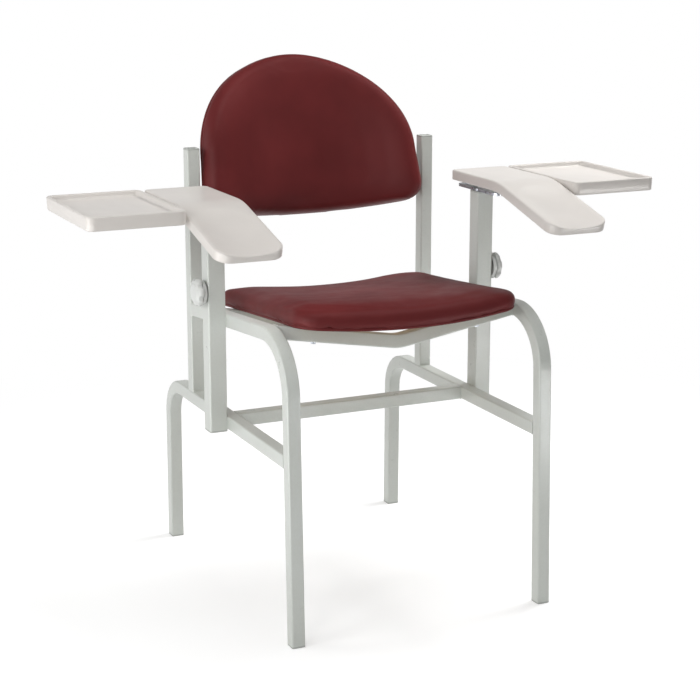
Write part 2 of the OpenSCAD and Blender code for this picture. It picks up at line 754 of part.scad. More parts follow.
nut_d = 18;
nut_t = 5;
module clamp_weld_nuts()
    color(frame_colour) from_front() for (s = [-1, 1]) on_side(s) clamp_line() difference() {
        cylinder(d = nut_d, h = nut_t);
        translate([0, 0, -over]) cylinder(d = clamp_bore, h = nut_t + 2 * over);
    }

slide_foot = post_foot + stem_l + 2 * flange_t;

module slide_tube(s)
    color(steel_colour) from_front() on_side(s)
        translate([post_x, post_y, slide_foot]) linear_extrude(sleeve_top - slide_foot)
            tube_ring(slide, tube_wall, tube_corner);

module slide_shoe(s)
    color(plastic_colour) from_front() on_side(s)
        translate([post_x, post_y, slide_foot - flange_t]) {
            linear_extrude(flange_t) round_square(sleeve_bore - 2 * guide_gap, tube_wall);
            linear_extrude(stem_l) round_square(slide - 2 * tube_wall - 2 * guide_gap, tube_wall / 2);
        }

// Arm bracket: a strip along the arm rest and one across, under the tray
slot_w = screw_d + hole_play;
bolt_margin = 1;
bracket_top = sleeve_top + bracket_t;
pad_bolt_inset = 22;
slot_l = 34;
pad_bolt_ys = [strip_front_y + pad_bolt_inset, strip_rear_y - slot_l - strip_w / 2 + bolt_margin];
tray_in = pad_in + pad_w + tray_gap;
tray_strip_end = tray_in + 0.7 * tray_w;
tray_bolt_xs = [tray_in + 0.28 * tray_w, tray_in + 0.62 * tray_w];

module arm_bracket(s)
    color(steel_colour) from_front() on_side(s) translate([0, 0, sleeve_top]) linear_extrude(bracket_t)
        difference() {
            union() {
                translate([post_x, 0]) rotate(90)
                    slot_outline(strip_front_y + strip_w / 2, strip_rear_y - strip_w / 2, strip_w);
                translate([0, post_y]) slot_outline(post_x, tray_strip_end - tray_strip_w / 2, tray_strip_w);
            }
            translate([post_x, 0]) rotate(90) slot_outline(pad_bolt_ys[0] - slot_w, pad_bolt_ys[0] + slot_w, slot_w);
            translate([post_x, 0]) rotate(90) slot_outline(pad_bolt_ys[1], pad_bolt_ys[1] + slot_l, slot_w);
            for (x = tray_bolt_xs) translate([0, post_y]) slot_outline(x - slot_w, x + slot_w, slot_w);
        }

// Arm rest. Its side view: a flat top, a bend and a straight fall
bend_steps = 8;
pad_low = pad_top - pad_t;
function pad_line(drop) =
    let(r = pad_bend_r - drop,
        t = pad_bend_r * tan(pad_fall / 2),
        cy = pad_bend_y + t, cz = pad_top - pad_bend_r,
        end_y = pad_front_y + drop * sin(pad_fall),
        end_z = pad_top - (pad_bend_y - pad_front_y) * tan(pad_fall) - drop * cos(pad_fall))
        concat([[pad_rear_y, pad_top - drop]],
            [for (i = [0:bend_steps]) let(a = pad_fall * i / bend_steps) [cy - r * sin(a), cz + r * cos(a)]],
            [[end_y, end_z]]);

function reversed(v) = [for (i = [len(v) - 1:-1:0]) v[i]];

// A side view carried across the arm rest
module pad_slice(top_drop, low_drop)
    translate([pad_in, 0, 0]) rotate([90, 0, 90]) linear_extrude(pad_w)
        polygon(concat(pad_line(top_drop), reversed(pad_line(low_drop))));

trough_r = (trough_w * trough_w / 4 + trough_depth * trough_depth) / (2 * trough_depth);
trough_run = 0.64 * (pad_bend_y - pad_front_y);
pad_x = pad_in + pad_w / 2;

module trough()
    translate([pad_x, pad_front_y, pad_top - (pad_bend_y - pad_front_y) * tan(pad_fall)])
        rotate([pad_fall, 0, 0]) translate([0, 0, trough_r - trough_depth]) {
            translate([0, -trough_w, 0]) rotate([-90, 0, 0])
                cylinder(r = trough_r, h = trough_w + trough_run, $fn = wide_fn);
            translate([0, trough_run, 0]) sphere(r = trough_r, $fn = wide_fn);
        }

module pad_plan(inset)
    round_rectangle(pad_in + inset, pad_in + pad_w - inset, pad_front_y + inset, pad_rear_y - inset,
        pad_front_r - inset, pad_rear_r - inset);

module pad_hollow()
    intersection() {
        union() {
            pad_slice(skin + trough_depth, 2 * pad_t);
            intersection() {
                pad_slice(skin, 2 * pad_t);
                translate([0, pad_bend_y + skin, 0]) cube([reach, reach, reach]);
            }
        }
        linear_extrude(reach) pad_plan(skin);
    }

module arm_rest(s)
    color(shell_colour) from_front() on_side(s) difference() {
        union() {
            difference() {
                intersection() {
                    pad_slice(0, pad_t);
                    linear_extrude(reach) pad_plan(0);
                }
                trough();
                pad_hollow();
            }
            for (y = pad_bolt_ys)
                translate([post_x, y, pad_low]) cylinder(d = boss_d, h = pad_t - skin / 2);
        }
        for (y = pad_bolt_ys)
            translate([post_x, y, pad_low - over]) cylinder(d = screw_d + screw_gap, h = pad_t - skin + over);
    }

// Tray
tray_low = pad_top - tray_h;
module tray_plan(inset)
    round_rectangle(tray_in + inset, tray_in + tray_w - inset, tray_front_y + inset,
        tray_front_y + tray_l - inset, tray_corner_r - inset, tray_corner_r - inset);

module tray(s)
    color(shell_colour) from_front() on_side(s) difference() {
        union() {
            difference() {
                translate([0, 0, tray_low]) linear_extrude(tray_h) tray_plan(0);
                translate([0, 0, pad_top - tray_depth]) linear_extrude(tray_depth + over) tray_plan(tray_rim);
                translate([0, 0, tray_low - over])
                    linear_extrude(tray_h - tray_depth - skin + over) tray_plan(skin);
            }
            for (x = tray_bolt_xs) translate([x, post_y, tray_low])
                cylinder(d = boss_d, h = tray_h - tray_depth - skin / 2);
        }
        for (x = tray_bolt_xs) translate([x, post_y, tray_low - over])
            cylinder(d = screw_d + screw_gap, h = tray_h - tray_depth - skin + over);
    }

module washer(h)
    difference() {
        cylinder(d = boss_d, h = h);
        translate([0, 0, -over]) cylinder(d = screw_d + hole_play, h = h + 2 * over);
    }

module bracket_spacers(s)
    color(plastic_colour) from_front() on_side(s) {
        for (y = pad_bolt_ys) translate([post_x, y, bracket_top]) washer(pad_low - bracket_top);
        for (x = tray_bolt_xs) translate([x, post_y, bracket_top]) washer(tray_low - bracket_top);
    }

module bracket_bolts(s)
    color(steel_colour) from_front() on_side(s) {
        for (y = pad_bolt_ys) translate([post_x, y, sleeve_top])
            hex_bolt(pad_low - sleeve_top + pad_t - 2 * skin);
        for (x = tray_bolt_xs) translate([x, post_y, sleeve_top])
            hex_bolt(tray_low - sleeve_top + tray_h - tray_depth - 2 * skin);
    }

// Clamping knob and its screw, along the clamp line
knob_gap = 2.5;
hub_d = 22;
skirt_wall = 3;
recess_r = skirt_d / 2 - skirt_wall;
recess_l = knob_l / 2;
dome_r = (knob_d * knob_d / 4 + knob_dome * knob_dome) / (2 * knob_dome);

module clamp_knob(s)
    color(shell_colour) from_front() on_side(s) clamp_line() difference() {
        union() {
            translate([0, 0, knob_gap]) cylinder(d = skirt_d, h = knob_l);
            intersection() {
                translate([0, 0, knob_gap + skirt_l]) linear_extrude(knob_l - skirt_l + knob_dome)
                    difference() {
                        circle(d = knob_d);
                        for (i = [0:knob_notches - 1]) rotate(360 * (i + notch_turn_share) / knob_notches)
                            translate([knob_d / 2 + notch_r - notch_depth, 0]) circle(notch_r);
                    }
                translate([0, 0, knob_gap + knob_l + knob_dome - dome_r]) sphere(r = dome_r, $fn = wide_fn);
            }
        }
        translate([0, 0, knob_gap - over]) difference() {
            cylinder(r = recess_r, h = recess_l + over);
            translate([0, 0, nut_t - knob_gap + over + 2 * guide_gap]) cylinder(d = hub_d, h = knob_l);
        }
        cylinder(d = clamp_d, h = knob_gap + knob_l - knob_dome);
    }

// How far the notches are turned, as a share of their spacing
notch_turn_share = 0.82;

// Its tip stops just short of the sliding tube
clamp_tip = sleeve_wall + (sleeve_bore - slide) / 2 - soft_gap;

module clamp_screw(s)
    color(steel_colour) from_front() on_side(s) clamp_line() translate([0, 0, -clamp_tip])
        cylinder(d = clamp_d, h = clamp_tip + knob_gap + knob_l - knob_dome);

rear_leg_and_rail(1);  // right_rear_leg_and_rail
rear_leg_and_rail(-1);  // left_rear_leg_and_rail
front_leg_and_seat_rail(1);  // right_front_leg_and_seat_rail
front_leg_and_seat_rail(-1);  // left_front_leg_and_seat_rail
back_upright(1);  // right_back_upright
back_upright(-1);  // left_back_upright
lower_cross_brace();
seat_crossbar(front_bar_y);  // front_seat_crossbar
seat_crossbar(rear_bar_y);  // rear_seat_crossbar
back_crossbar();
back_mount_plates();
arm_post(1);  // right_arm_post
arm_post(-1);  // left_arm_post
post_bush(1);  // right_post_bush
post_bush(-1);  // left_post_bush
post_bottom_caps();
clamp_weld_nuts();
front_foot_plugs();
rear_foot_plugs();
upright_caps();
seat_board();
seat_cushion();
seat_spacers();
seat_bolts();
seat_tee_nuts();
back_board();
back_cushion();
back_bolts();
back_tee_nuts();
slide_tube(1);  // right_slide_tube
slide_tube(-1);  // left_slide_tube
slide_shoe(1);  // right_slide_shoe
slide_shoe(-1);  // left_slide_shoe
arm_bracket(1);  // right_arm_bracket
arm_bracket(-1);  // left_arm_bracket
arm_rest(1);  // right_arm_rest
arm_rest(-1);  // left_arm_rest
tray(1);  // right_tray
tray(-1);  // left_tray
bracket_spacers(1);  // right_bracket_spacers
bracket_spacers(-1);  // left_bracket_spacers
bracket_bolts(1);  // right_bracket_bolts
bracket_bolts(-1);  // left_bracket_bolts
clamp_knob(1);  // right_clamp_knob
clamp_knob(-1);  // left_clamp_knob
clamp_screw(1);  // right_clamp_screw
clamp_screw(-1);  // left_clamp_screw
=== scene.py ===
"""Looks of a phlebotomy chair, built as a Blender add-on layout and run as a script.

Metres, Z up, the chair faces -Y. Each piece's place is in its mesh.
"""

import json
import math

import bmesh
import bpy
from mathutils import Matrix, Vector


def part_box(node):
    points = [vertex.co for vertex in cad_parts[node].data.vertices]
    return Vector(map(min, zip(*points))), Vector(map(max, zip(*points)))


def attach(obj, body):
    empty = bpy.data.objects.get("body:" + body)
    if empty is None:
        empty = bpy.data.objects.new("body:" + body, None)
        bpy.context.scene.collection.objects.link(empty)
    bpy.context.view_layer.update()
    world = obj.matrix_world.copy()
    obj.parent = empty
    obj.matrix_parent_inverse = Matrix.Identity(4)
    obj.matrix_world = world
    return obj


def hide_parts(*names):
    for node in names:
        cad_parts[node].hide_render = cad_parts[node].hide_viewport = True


bl_info = {
    "name": "Phlebotomy chair",
    "version": (1, 0, 0),
    "blender": (4, 5, 0),
    "location": "View3D > Sidebar > Chair",
    "description": "Cushions, mouldings, knobs, weld beads and finishes of a phlebotomy chair",
    "category": "Object",
}

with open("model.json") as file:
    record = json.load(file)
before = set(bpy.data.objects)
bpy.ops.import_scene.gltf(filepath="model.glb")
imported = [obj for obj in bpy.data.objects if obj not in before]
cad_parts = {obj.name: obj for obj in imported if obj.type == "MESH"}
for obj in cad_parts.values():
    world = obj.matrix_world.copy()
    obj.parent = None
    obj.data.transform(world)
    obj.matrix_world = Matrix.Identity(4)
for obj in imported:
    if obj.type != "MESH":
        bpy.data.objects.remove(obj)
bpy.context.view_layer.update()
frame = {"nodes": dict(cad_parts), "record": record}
NODES = frame["nodes"]


# Settings
def length(name, description, default, low=0.0, high=2.0):
    return bpy.props.FloatProperty(
        name=name, description=description, default=default, min=low, max=high,
        subtype="DISTANCE", unit="LENGTH", precision=4)


def angle(name, description, degrees):
    return bpy.props.FloatProperty(
        name=name, description=description, default=math.radians(degrees),
        subtype="ANGLE", unit="ROTATION")


def amount(name, description, default, low=0.0, high=1.0):
    return bpy.props.FloatProperty(name=name, description=description, default=default, min=low, max=high)


def colour(name, description, default):
    return bpy.props.FloatVectorProperty(
        name=name, description=description, default=default, size=3, min=0.0, max=1.0, subtype="COLOR")


class CHAIR_PG_seat(bpy.types.PropertyGroup):
    """Sizes of the seat cushion, in the seat's own frame"""

    front_width: length("Front width", "Width of the cushion at the front", 0.444)
    rear_width: length("Rear width", "Width of the cushion at the rear", 0.436)
    front_y: length("Front", "From the front of the feet to the front corners", 0.041)
    rear_y: length("Rear", "From the front of the feet to the rear edge", 0.482)
    bow: length("Bow", "How far the front edge bows forward", 0.016)
    front_radius: length("Front radius", "Radius of the front corners", 0.047)
    rear_radius: length("Rear radius", "Radius of the rear corners", 0.050)
    drop: length("Drop", "Depth of the seat's middle under the rail tops", 0.016)
    dish: length("Dish", "How far the sides rise above the middle", 0.015)
    thickness: length("Thickness", "Board and cushion together", 0.036)
    crown: length("Crown", "Extra fullness in the middle of the front", 0.008)
    slope: angle("Slope", "Fall of the seat rails to the rear", 4.9)
    line_height: length("Line height", "Height of the rail tops over the front of the feet", 0.562)


class CHAIR_PG_back(bpy.types.PropertyGroup):
    """Sizes of the backrest, in its own frame"""

    half_width: length("Half width", "Half width where the arch begins", 0.220)
    flare: length("Flare", "Extra half width at the bottom corners", 0.005)
    side_height: length("Side height", "Height of the start of the arch", 0.106)
    arch_height: length("Arch height", "Height of the arch", 0.211)
    sag: length("Sag", "How far the bottom edge bows down", 0.010)
    corner_radius: length("Corner radius", "Radius of the bottom corners", 0.036)
    thickness: length("Thickness", "Board and cushion together", 0.046)
    curve_radius: length("Curve radius", "Radius of the horizontal curve", 0.3393)
    recline: angle("Recline", "Backward lean", 13.5)
    y: length("Place", "From the front of the feet to the middle of the bottom", 0.538)
    z: length("Height", "Height of the bottom", 0.672)


class CHAIR_PG_upholstery(bpy.types.PropertyGroup):
    """How the cushions are built up"""

    board: length("Board", "Thickness of the moulded boards", 0.010)
    inset: length("Board inset", "How far the boards stay inside the cushions", 0.012)
    voxel: length("Voxel", "Size of the remesh before the simulation", 0.0050, 0.002, 0.02)
    hem: length("Hem", "How far the cover's hem reaches in from the seat's outline", 0.036)
    staple_spacing: length("Staple spacing", "From one staple to the next", 0.021)
    edge: length("Edge", "Radius of the cushions' upper edges", 0.0145)
    shrink: length("Shrink", "How much smaller the cushion starts", 0.0035)
    cap: length("Cap", "How far a point may move in the simulation", 0.006)
    pressure: amount("Pressure", "Pressure inside the cushion", 4.0, 0.0, 20.0)


class CHAIR_PG_arm(bpy.types.PropertyGroup):
    """Sizes of the arm rests"""

    width: length("Width", "Width of the arm rest", 0.122)
    inner: length("Inner edge", "From the middle of the chair to the inner edge", 0.254)
    front_y: length("Front", "From the front of the feet to the front edge", 0.017)
    rear_y: length("Rear", "From the front of the feet to the rear edge", 0.405)
    top: length("Top", "Height of the flat top", 0.758)
    thickness: length("Thickness", "Thickness of the rim", 0.0194)
    fall: angle("Fall", "Fall of the front part", 15.0)
    bend_y: length("Bend", "From the front of the feet to the start of the fall", 0.217)
    bend_radius: length("Bend radius", "Radius of the bend on the top", 0.200)
    front_radius: length("Front radius", "Radius of the front corners", 0.027)
    rear_radius: length("Rear radius", "Radius of the rear corners", 0.012)
    trough_depth: length("Trough depth", "Depth of the trough", 0.008)
    trough_width: length("Trough width", "Width of the trough", 0.105)
    edge: length("Edge", "Radius of the moulded edges", 0.0035)
    skin: length("Skin", "Wall of the moulding", 0.004)


class CHAIR_PG_tray(bpy.types.PropertyGroup):
    """Sizes of the trays"""

    width: length("Width", "Width of the tray", 0.176)
    length_y: length("Length", "Length of the tray", 0.262)
    height: length("Height", "Height of its wall", 0.025)
    gap: length("Gap", "Gap between arm rest and tray", 0.005)
    front_y: length("Front", "From the front of the feet to the front of the tray", 0.147)
    corner: length("Corner", "Corner radius", 0.014)
    rim: length("Rim", "Width of the rim", 0.008)
    depth: length("Depth", "Depth of the recess", 0.009)
    edge: length("Edge", "Radius of the moulded edges", 0.003)


class CHAIR_PG_knob(bpy.types.PropertyGroup):
    """Sizes of the clamping knobs"""

    diameter: length("Diameter", "Diameter of the grip", 0.053)
    notches: bpy.props.IntProperty(name="Notches", description="Finger notches", default=6, min=3, max=12)
    notch_radius: length("Notch radius", "Radius of a notch", 0.0075)
    notch_depth: length("Notch depth", "Depth of a notch", 0.0045)
    skirt_diameter: length("Skirt diameter", "Diameter of the skirt behind the grip", 0.043)
    skirt_length: length("Skirt length", "Length of the skirt", 0.008)
    grip_length: length("Length", "Skirt and grip together", 0.018)
    dome: length("Dome", "Height of the domed face", 0.003)
    axis_z: length("Axis height", "Height of the clamping screw", 0.578)


class CHAIR_PG_frame(bpy.types.PropertyGroup):
    """Places on the frame that its small details follow"""

    tube: length("Tube", "Side of the square tube", 0.025)
    half_width: length("Half width", "From the middle to the outer face of a side frame", 0.259)
    rail_top: length("Rail top", "Height of the top of the lower rails", 0.343)
    brace_y: length("Brace", "From the front of the feet to the lower brace", 0.309)
    front_bar_y: length("Front bar", "From the front of the feet along the seat to its front bar", 0.115)
    rear_bar_y: length("Rear bar", "From the front of the feet along the seat to its rear bar", 0.370)
    upright_y: length("Upright", "From the front of the feet to the back uprights", 0.490)
    upright_height: length("Upright height", "Height of the back uprights", 0.815)
    cap_height: length("Cap", "Height of the caps on the uprights", 0.003)
    post_y: length("Post", "From the front of the feet to the outer posts", 0.300)
    post: length("Post side", "Side of the outer posts", 0.0335)
    bead: length("Bead", "Radius of a weld bead", 0.0013)
    front_lean: angle("Front lean", "Backward lean of the front legs", 1.9)
    bar_fall: angle("Bar fall", "Fall of each half of the crossbars", 9.5)


class CHAIR_PG_finish(bpy.types.PropertyGroup):
    """Colours of the finishes"""

    paint: colour("Paint", "Powder coat of the frame", (0.63, 0.655, 0.615))
    vinyl: colour("Vinyl", "Cover of the cushions", (0.142, 0.0215, 0.0222))
    shell: colour("Shell", "Arm rests and trays", (0.69, 0.655, 0.62))
    knob: colour("Knob", "Clamping knobs", (0.68, 0.695, 0.675))
    plastic: colour("Plastic", "Plugs, caps and washers", (0.50, 0.52, 0.49))
    wood: colour("Plywood", "Moulded boards", (0.50, 0.33, 0.18))


GROUPS = {
    "chair_seat": CHAIR_PG_seat,
    "chair_back": CHAIR_PG_back,
    "chair_upholstery": CHAIR_PG_upholstery,
    "chair_arm": CHAIR_PG_arm,
    "chair_tray": CHAIR_PG_tray,
    "chair_knob": CHAIR_PG_knob,
    "chair_frame": CHAIR_PG_frame,
    "chair_finish": CHAIR_PG_finish,
}

# Depth of the whole frame, whose middle lies at y = 0
FRAME_DEPTH = 0.658
# The sign of x on each side
SIDES = ((1, "right"), (-1, "left"))
# Smallest of the copies made by along_paths, as a share of their size
SMALLEST_COPY = 0.86
# Cushions: points on an outline, frames of the simulation and rounds that even it out, the height
# over the board up to which a cushion is held, and how far it may reach out of its CAD box
OUTLINE_POINTS = 168
SWELL_FRAMES, EVEN_ROUNDS = 20, 24
HELD, OVERHANG = 0.004, 0.004
CLOTH = {"quality": 6, "mass": 0.3, "tension_stiffness": 18, "compression_stiffness": 18,
         "shear_stiffness": 8, "bending_stiffness": 1.5, "use_pressure": True, "vertex_group_mass": "held"}
# Insets and heights of a hem's section before and after its inner edge, where its pleats start, how
# far they wave and sink, and how far the back's hem reaches in
HEM_EDGE = ((0.0098, 0.0070), (0.0078, 0.0024), (0.0079, 0.0004), (0.0092, -0.0010),
            (0.0120, -0.0014), (0.0200, -0.0012))
HEM_INSIDE = ((0.0140, 0.0003), (0.0122, 0.0050))
PLEAT_START, PLEAT_WAVE, PLEAT_SINK = 0.013, 0.0009, 0.00022
BACK_HEM = 0.0205
# Staples: place from the hem's edge, height and size; the welt's place and radius
STAPLE_IN, STAPLE_DEPTH = 0.006, -0.0016
STAPLE = {"Length": 0.0105, "Width": 0.0011, "Height": 0.0009, "Sway": 0.22, "Seed": 4}
WELT_INSET, WELT_DEPTH, WELT_RADIUS = 0.0190, -0.0012, 0.0021
# Arm rests: roundness of the trough's crease, depth at which the rim no longer follows the trough,
# and radius of the lower edge
SOFT_CREASE, TROUGH_FADE, LOWER_EDGE = 0.0009, 0.012, 0.0022
# Bosses under arm rests and trays: radius and edge, places from the arm rest's inner edge and ends,
# and on the tray from the front of the feet and as shares of its width
BOSS, BOSS_EDGE = 0.008, 0.0006
BOSS_IN, BOSS_FROM_REAR, BOSS_FROM_FRONT = 0.021, 0.056, 0.245
TRAY_BOSS_Y, TRAY_BOSSES = 0.316, (0.28, 0.62)
# Weld beads: distance of a run's end from the tube's corner, how far a post's runs lie inside its
# faces and off the side frame, and the spacing of the beads
WELD_END, POST_WELD_IN, POST_WELD_OFF = 0.0022, 0.0012, 0.0003
BEAD_SPACING = 0.0016
# Upright caps: corner radius, and insets with depths under the top and under the cap's lower face
CAP_CORNER = 0.003
CAP_TOP = ((0.0085, 0.0012), (0.0036, 0.0012), (0.0030, 0.0010), (0.0026, 0.0002), (0.0022, 0.0),
           (0.0009, 0.0), (0.0003, 0.0003), (0.0, 0.0009))
CAP_PLUG = ((0.0, -0.0003), (0.0004, 0.0), (0.0030, 0.0), (0.0034, 0.0150), (0.0060, 0.0180),
            (0.0085, 0.0180))
# Knobs: points round the grip, the notches' turn as a share of their spacing, shares of the radius
# with sinks of the domed face, radii of the grip's two edges, the gap to the post, radius and
# lower end of the hub, and thickness of a rib
GRIP_POINTS, NOTCH_TURN = 288, 0.82
KNOB_FACE = ((0.02, 0.0), (0.25, 0.0), (0.45, 0.0), (0.60, 0.0), (0.62, 0.00015), (0.64, 0.0007),
             (0.66, 0.0011), (0.69, 0.0012))
GRIP_EDGE, GRIP_LOW_EDGE = 0.0065, 0.0010
KNOB_GAP = 0.0025
HUB, HUB_LOW, RIB = 0.0108, 0.0056, 0.0012
# The camera's place, its turn in degrees, and its lens and sensor in millimetres
CAMERA_PLACE, CAMERA_TURN = (-1.3623, -2.9594, 1.2373), (76.19, 0.0, -24.76)
LENS, SENSOR = 90.57, 36.0
# Strengths of the fill from low and high directions and its share from the front; of the backdrop
# and of the unlit side in reflections; of the floor's own white; and, in reflections only, of the
# painted shade on the floor's front and of the painted highlights from its glowing left and right parts
FILL_LOW, FILL_HIGH, FILL_FRONT = 0.53, 0.36, 0.84
BACKDROP, DIM_SIDE = 0.72, 0.02
FLOOR_LIFT = 0.40
# Painted reflections: in reflections only, the floor's front is dimmed as painted shade and its left and
# right parts glow as painted highlights
FLOOR_FRONT_PAINTED_SHADE, FLOOR_LEFT_PAINTED_GLINT, FLOOR_RIGHT_PAINTED_GLINT = 0.25, 6.0, 11.0
# Lamps: name, place, target, width and height, watts, tone, and whether reflections show it
LAMPS = [
    ("left_side", (-1.5, -0.5, 1.0), (0.0, -0.1, 0.6), (0.6, 0.7), 6.0, (1.0, 1.0, 1.0)),
    ("over_right", (1.25, 0.25, 2.0), (0.45, -0.05, 0.75), (0.9, 0.9), 27.0, (1.0, 1.0, 1.0), False),
    ("glint_right", (1.25, 0.25, 2.0), (0.45, -0.05, 0.75), (0.9, 0.9), 5.0, (1.0, 1.0, 1.0)),
    ("top", (0.0, -0.3, 2.6), (0.0, -0.1, 0.6), (1.2, 1.2), 6.0, (1.0, 1.0, 1.0)),
    ("front_left", (-1.35, -1.35, 1.15), (-0.4, -0.1, 0.7), (0.6, 0.6), 6.0, (1.0, 0.995, 0.985)),
    ("rear_left", (-2.2, 0.9, 1.6), (0.0, -0.1, 0.6), (1.0, 1.0), 9.0, (1.0, 1.0, 1.0)),
]


# Node helpers
def new_material(name):
    mat = bpy.data.materials.new(name)
    mat.use_nodes = True
    mat.node_tree.nodes.clear()
    return mat


class Nodes:
    """Adds nodes to a tree; a node's inputs take numbers, colours or other nodes' outputs."""

    def __init__(self, tree):
        self.tree = tree

    def add(self, kind, inputs=None, **values):
        node = self.tree.nodes.new(kind)
        for key, value in values.items():
            setattr(node, key, value)
        for key, value in (inputs or {}).items():
            if isinstance(value, bpy.types.NodeSocket):
                self.tree.links.new(value, node.inputs[key])
            else:
                node.inputs[key].default_value = value
        return node

    def math(self, op, a, b):
        return self.add("ShaderNodeMath", {0: a, 1: b}, operation=op).outputs["Value"]

    def weighed(self, a, share_a, b, share_b):
        """The sum of two values, each times its share."""
        return self.math("ADD", self.math("MULTIPLY", a, share_a), self.math("MULTIPLY", b, share_b))

    def span(self, value, low, high, a, b, shape="LINEAR"):
        """The value moved from the range low to high into the range a to b."""
        inputs = {"Value": value, "From Min": low, "From Max": high, "To Min": a, "To Max": b}
        return self.add("ShaderNodeMapRange", inputs, interpolation_type=shape).outputs["Result"]

    def smooth(self, value, low, high, a=0.0, b=1.0):
        """The same with a soft start and end."""
        return self.span(value, low, high, a, b, "SMOOTHSTEP")


class Shader(Nodes):
    """A material with the textures, bumps and tones that its finish is made of."""

    def __init__(self, name):
        self.mat = new_material(name)
        super().__init__(self.mat.node_tree)
        self.coords = self.add("ShaderNodeTexCoord").outputs["Object"]
        self.bsdf = self.add("ShaderNodeBsdfPrincipled")
        self.add("ShaderNodeOutputMaterial", {"Surface": self.bsdf.outputs["BSDF"]})

    def set(self, **values):
        for key, value in values.items():
            socket = self.bsdf.inputs[key.replace("_", " ")]
            socket.default_value = (*value, 1.0) if isinstance(value, tuple) else value

    def place(self, scale):
        """Object coordinates stretched along the axes."""
        return self.add("ShaderNodeMapping", {"Vector": self.coords, "Scale": scale}).outputs["Vector"]

    def noise(self, scale, detail, rough, vector=None, distortion=0.0):
        inputs = {"Vector": vector or self.coords, "Scale": scale, "Detail": detail, "Roughness": rough,
                  "Distortion": distortion}
        return self.add("ShaderNodeTexNoise", inputs).outputs["Fac"]

    def cells(self, scale, feature):
        inputs = {"Vector": self.coords, "Scale": scale}
        return self.add("ShaderNodeTexVoronoi", inputs, feature=feature).outputs["Distance"]

    def ramp(self, value, stops):
        node = self.add("ShaderNodeValToRGB", {"Fac": value})
        elements = node.color_ramp.elements
        while len(elements) < len(stops):
            elements.new(0.5)
        for element, (place, tone) in zip(elements, stops):
            element.position = place
            element.color = (*tone, 1.0)
        return node.outputs["Color"]

    def bump(self, height, strength, distance, under=None):
        inputs = {"Height": height, "Strength": strength, "Distance": distance}
        if under is not None:
            inputs["Normal"] = under
        return self.add("ShaderNodeBump", inputs).outputs["Normal"]

    def finish(self, colour, roughness, normal):
        for key, value in (("Base Color", colour), ("Roughness", roughness), ("Normal", normal)):
            if value is not None:
                self.tree.links.new(value, self.bsdf.inputs[key])
        return self.mat


def shade(tone, share):
    """The colour, darker or lighter by a share."""
    return tuple(min(1.0, c * share) for c in tone)


def mixed(a, b, share):
    return tuple(x + (y - x) * share for x, y in zip(a, b))


# Finishes
def powder_coat(tone):
    """Semi-gloss powder coat: orange peel and faint tone clouds."""
    s = Shader("frame_powder_coat")
    tint = s.weighed(s.noise(6.0, 4.0, 0.55), 0.7, s.noise(240.0, 2.0, 0.6), 0.3)
    chalk = mixed(tone, (0.70, 0.73, 0.72), 0.35)
    base = s.ramp(tint, [(0.36, shade(tone, 0.955)), (0.52, tone), (0.68, chalk)])
    rough = s.span(s.noise(34.0, 4.0, 0.6), 0.3, 0.7, 0.27, 0.37)
    peel = s.bump(s.noise(420.0, 2.0, 0.45), 0.10, 0.00012)
    wave = s.bump(s.noise(55.0, 2.0, 0.4), 0.05, 0.0003, peel)
    s.set(Metallic=0.0, Specular_IOR_Level=0.45, Coat_Weight=0.25, Coat_Roughness=0.16)
    return s.finish(base, rough, wave)


def vinyl(tone):
    """Smooth coated vinyl with a fine leather grain and a faint sheen."""
    s = Shader("cushion_vinyl")
    clouds = s.noise(9.0, 3.0, 0.5)
    base = s.ramp(clouds, [(0.35, shade(tone, 0.86)), (0.55, tone), (0.72, shade(tone, 1.10))])
    pebble = s.span(s.cells(820.0, "F1"), 0.0, 0.8, 0.35, 0.0)
    crease = s.span(s.cells(390.0, "DISTANCE_TO_EDGE"), 0.0, 0.12, 0.0, 0.65)
    rough = s.span(s.noise(26.0, 4.0, 0.6), 0.3, 0.7, 0.42, 0.50)
    fine = s.bump(s.math("ADD", crease, pebble), 0.09, 0.00016)
    soft = s.bump(s.noise(14.0, 2.0, 0.45), 0.03, 0.0006, fine)
    s.set(Specular_IOR_Level=0.17, Sheen_Weight=0.01, Sheen_Roughness=0.4, Sheen_Tint=(0.80, 0.62, 0.68))
    return s.finish(base, rough, soft)


def moulded(name, tone, rough_low, rough_high, coat):
    """Glossy moulding: very faint sink waves, mould texture and handling marks."""
    s = Shader(name)
    clouds = s.noise(11.0, 4.0, 0.5)
    base = s.ramp(clouds, [(0.35, shade(tone, 0.965)), (0.55, tone), (0.75, shade(tone, 1.02))])
    marks = s.noise(48.0, 5.0, 0.65, s.place((1.0, 0.35, 1.0)))
    rough = s.span(marks, 0.3, 0.72, rough_low, rough_high)
    texture = s.bump(s.noise(900.0, 2.0, 0.5), 0.03, 0.00006)
    waves = s.bump(s.noise(9.0, 1.0, 0.4), 0.008, 0.0006, texture)
    s.set(Specular_IOR_Level=0.5, Coat_Weight=coat, Coat_Roughness=0.20)
    return s.finish(base, rough, waves)


def matt_plastic(tone):
    """Plugs, caps and washers: fine spark-eroded texture."""
    s = Shader("end_plastic")
    base = s.ramp(s.noise(80.0, 4.0, 0.6), [(0.3, shade(tone, 0.93)), (0.7, shade(tone, 1.03))])
    grit = s.bump(s.noise(1400.0, 3.0, 0.6), 0.25, 0.00015)
    s.set(Specular_IOR_Level=0.4)
    rough = s.span(s.noise(150.0, 3.0, 0.6), 0.3, 0.7, 0.42, 0.55)
    return s.finish(base, rough, grit)


def drawn_steel(name, tone, stretch, rough_low, rough_high):
    """Metal with fine lines along one direction."""
    s = Shader(name)
    lines = s.noise(140.0, 4.0, 0.65, s.place(stretch))
    base = s.ramp(lines, [(0.3, shade(tone, 0.86)), (0.55, tone), (0.75, shade(tone, 1.10))])
    rough = s.span(lines, 0.3, 0.7, rough_low, rough_high)
    fine = s.bump(lines, 0.12, 0.0002)
    s.set(Metallic=1.0)
    return s.finish(base, rough, fine)


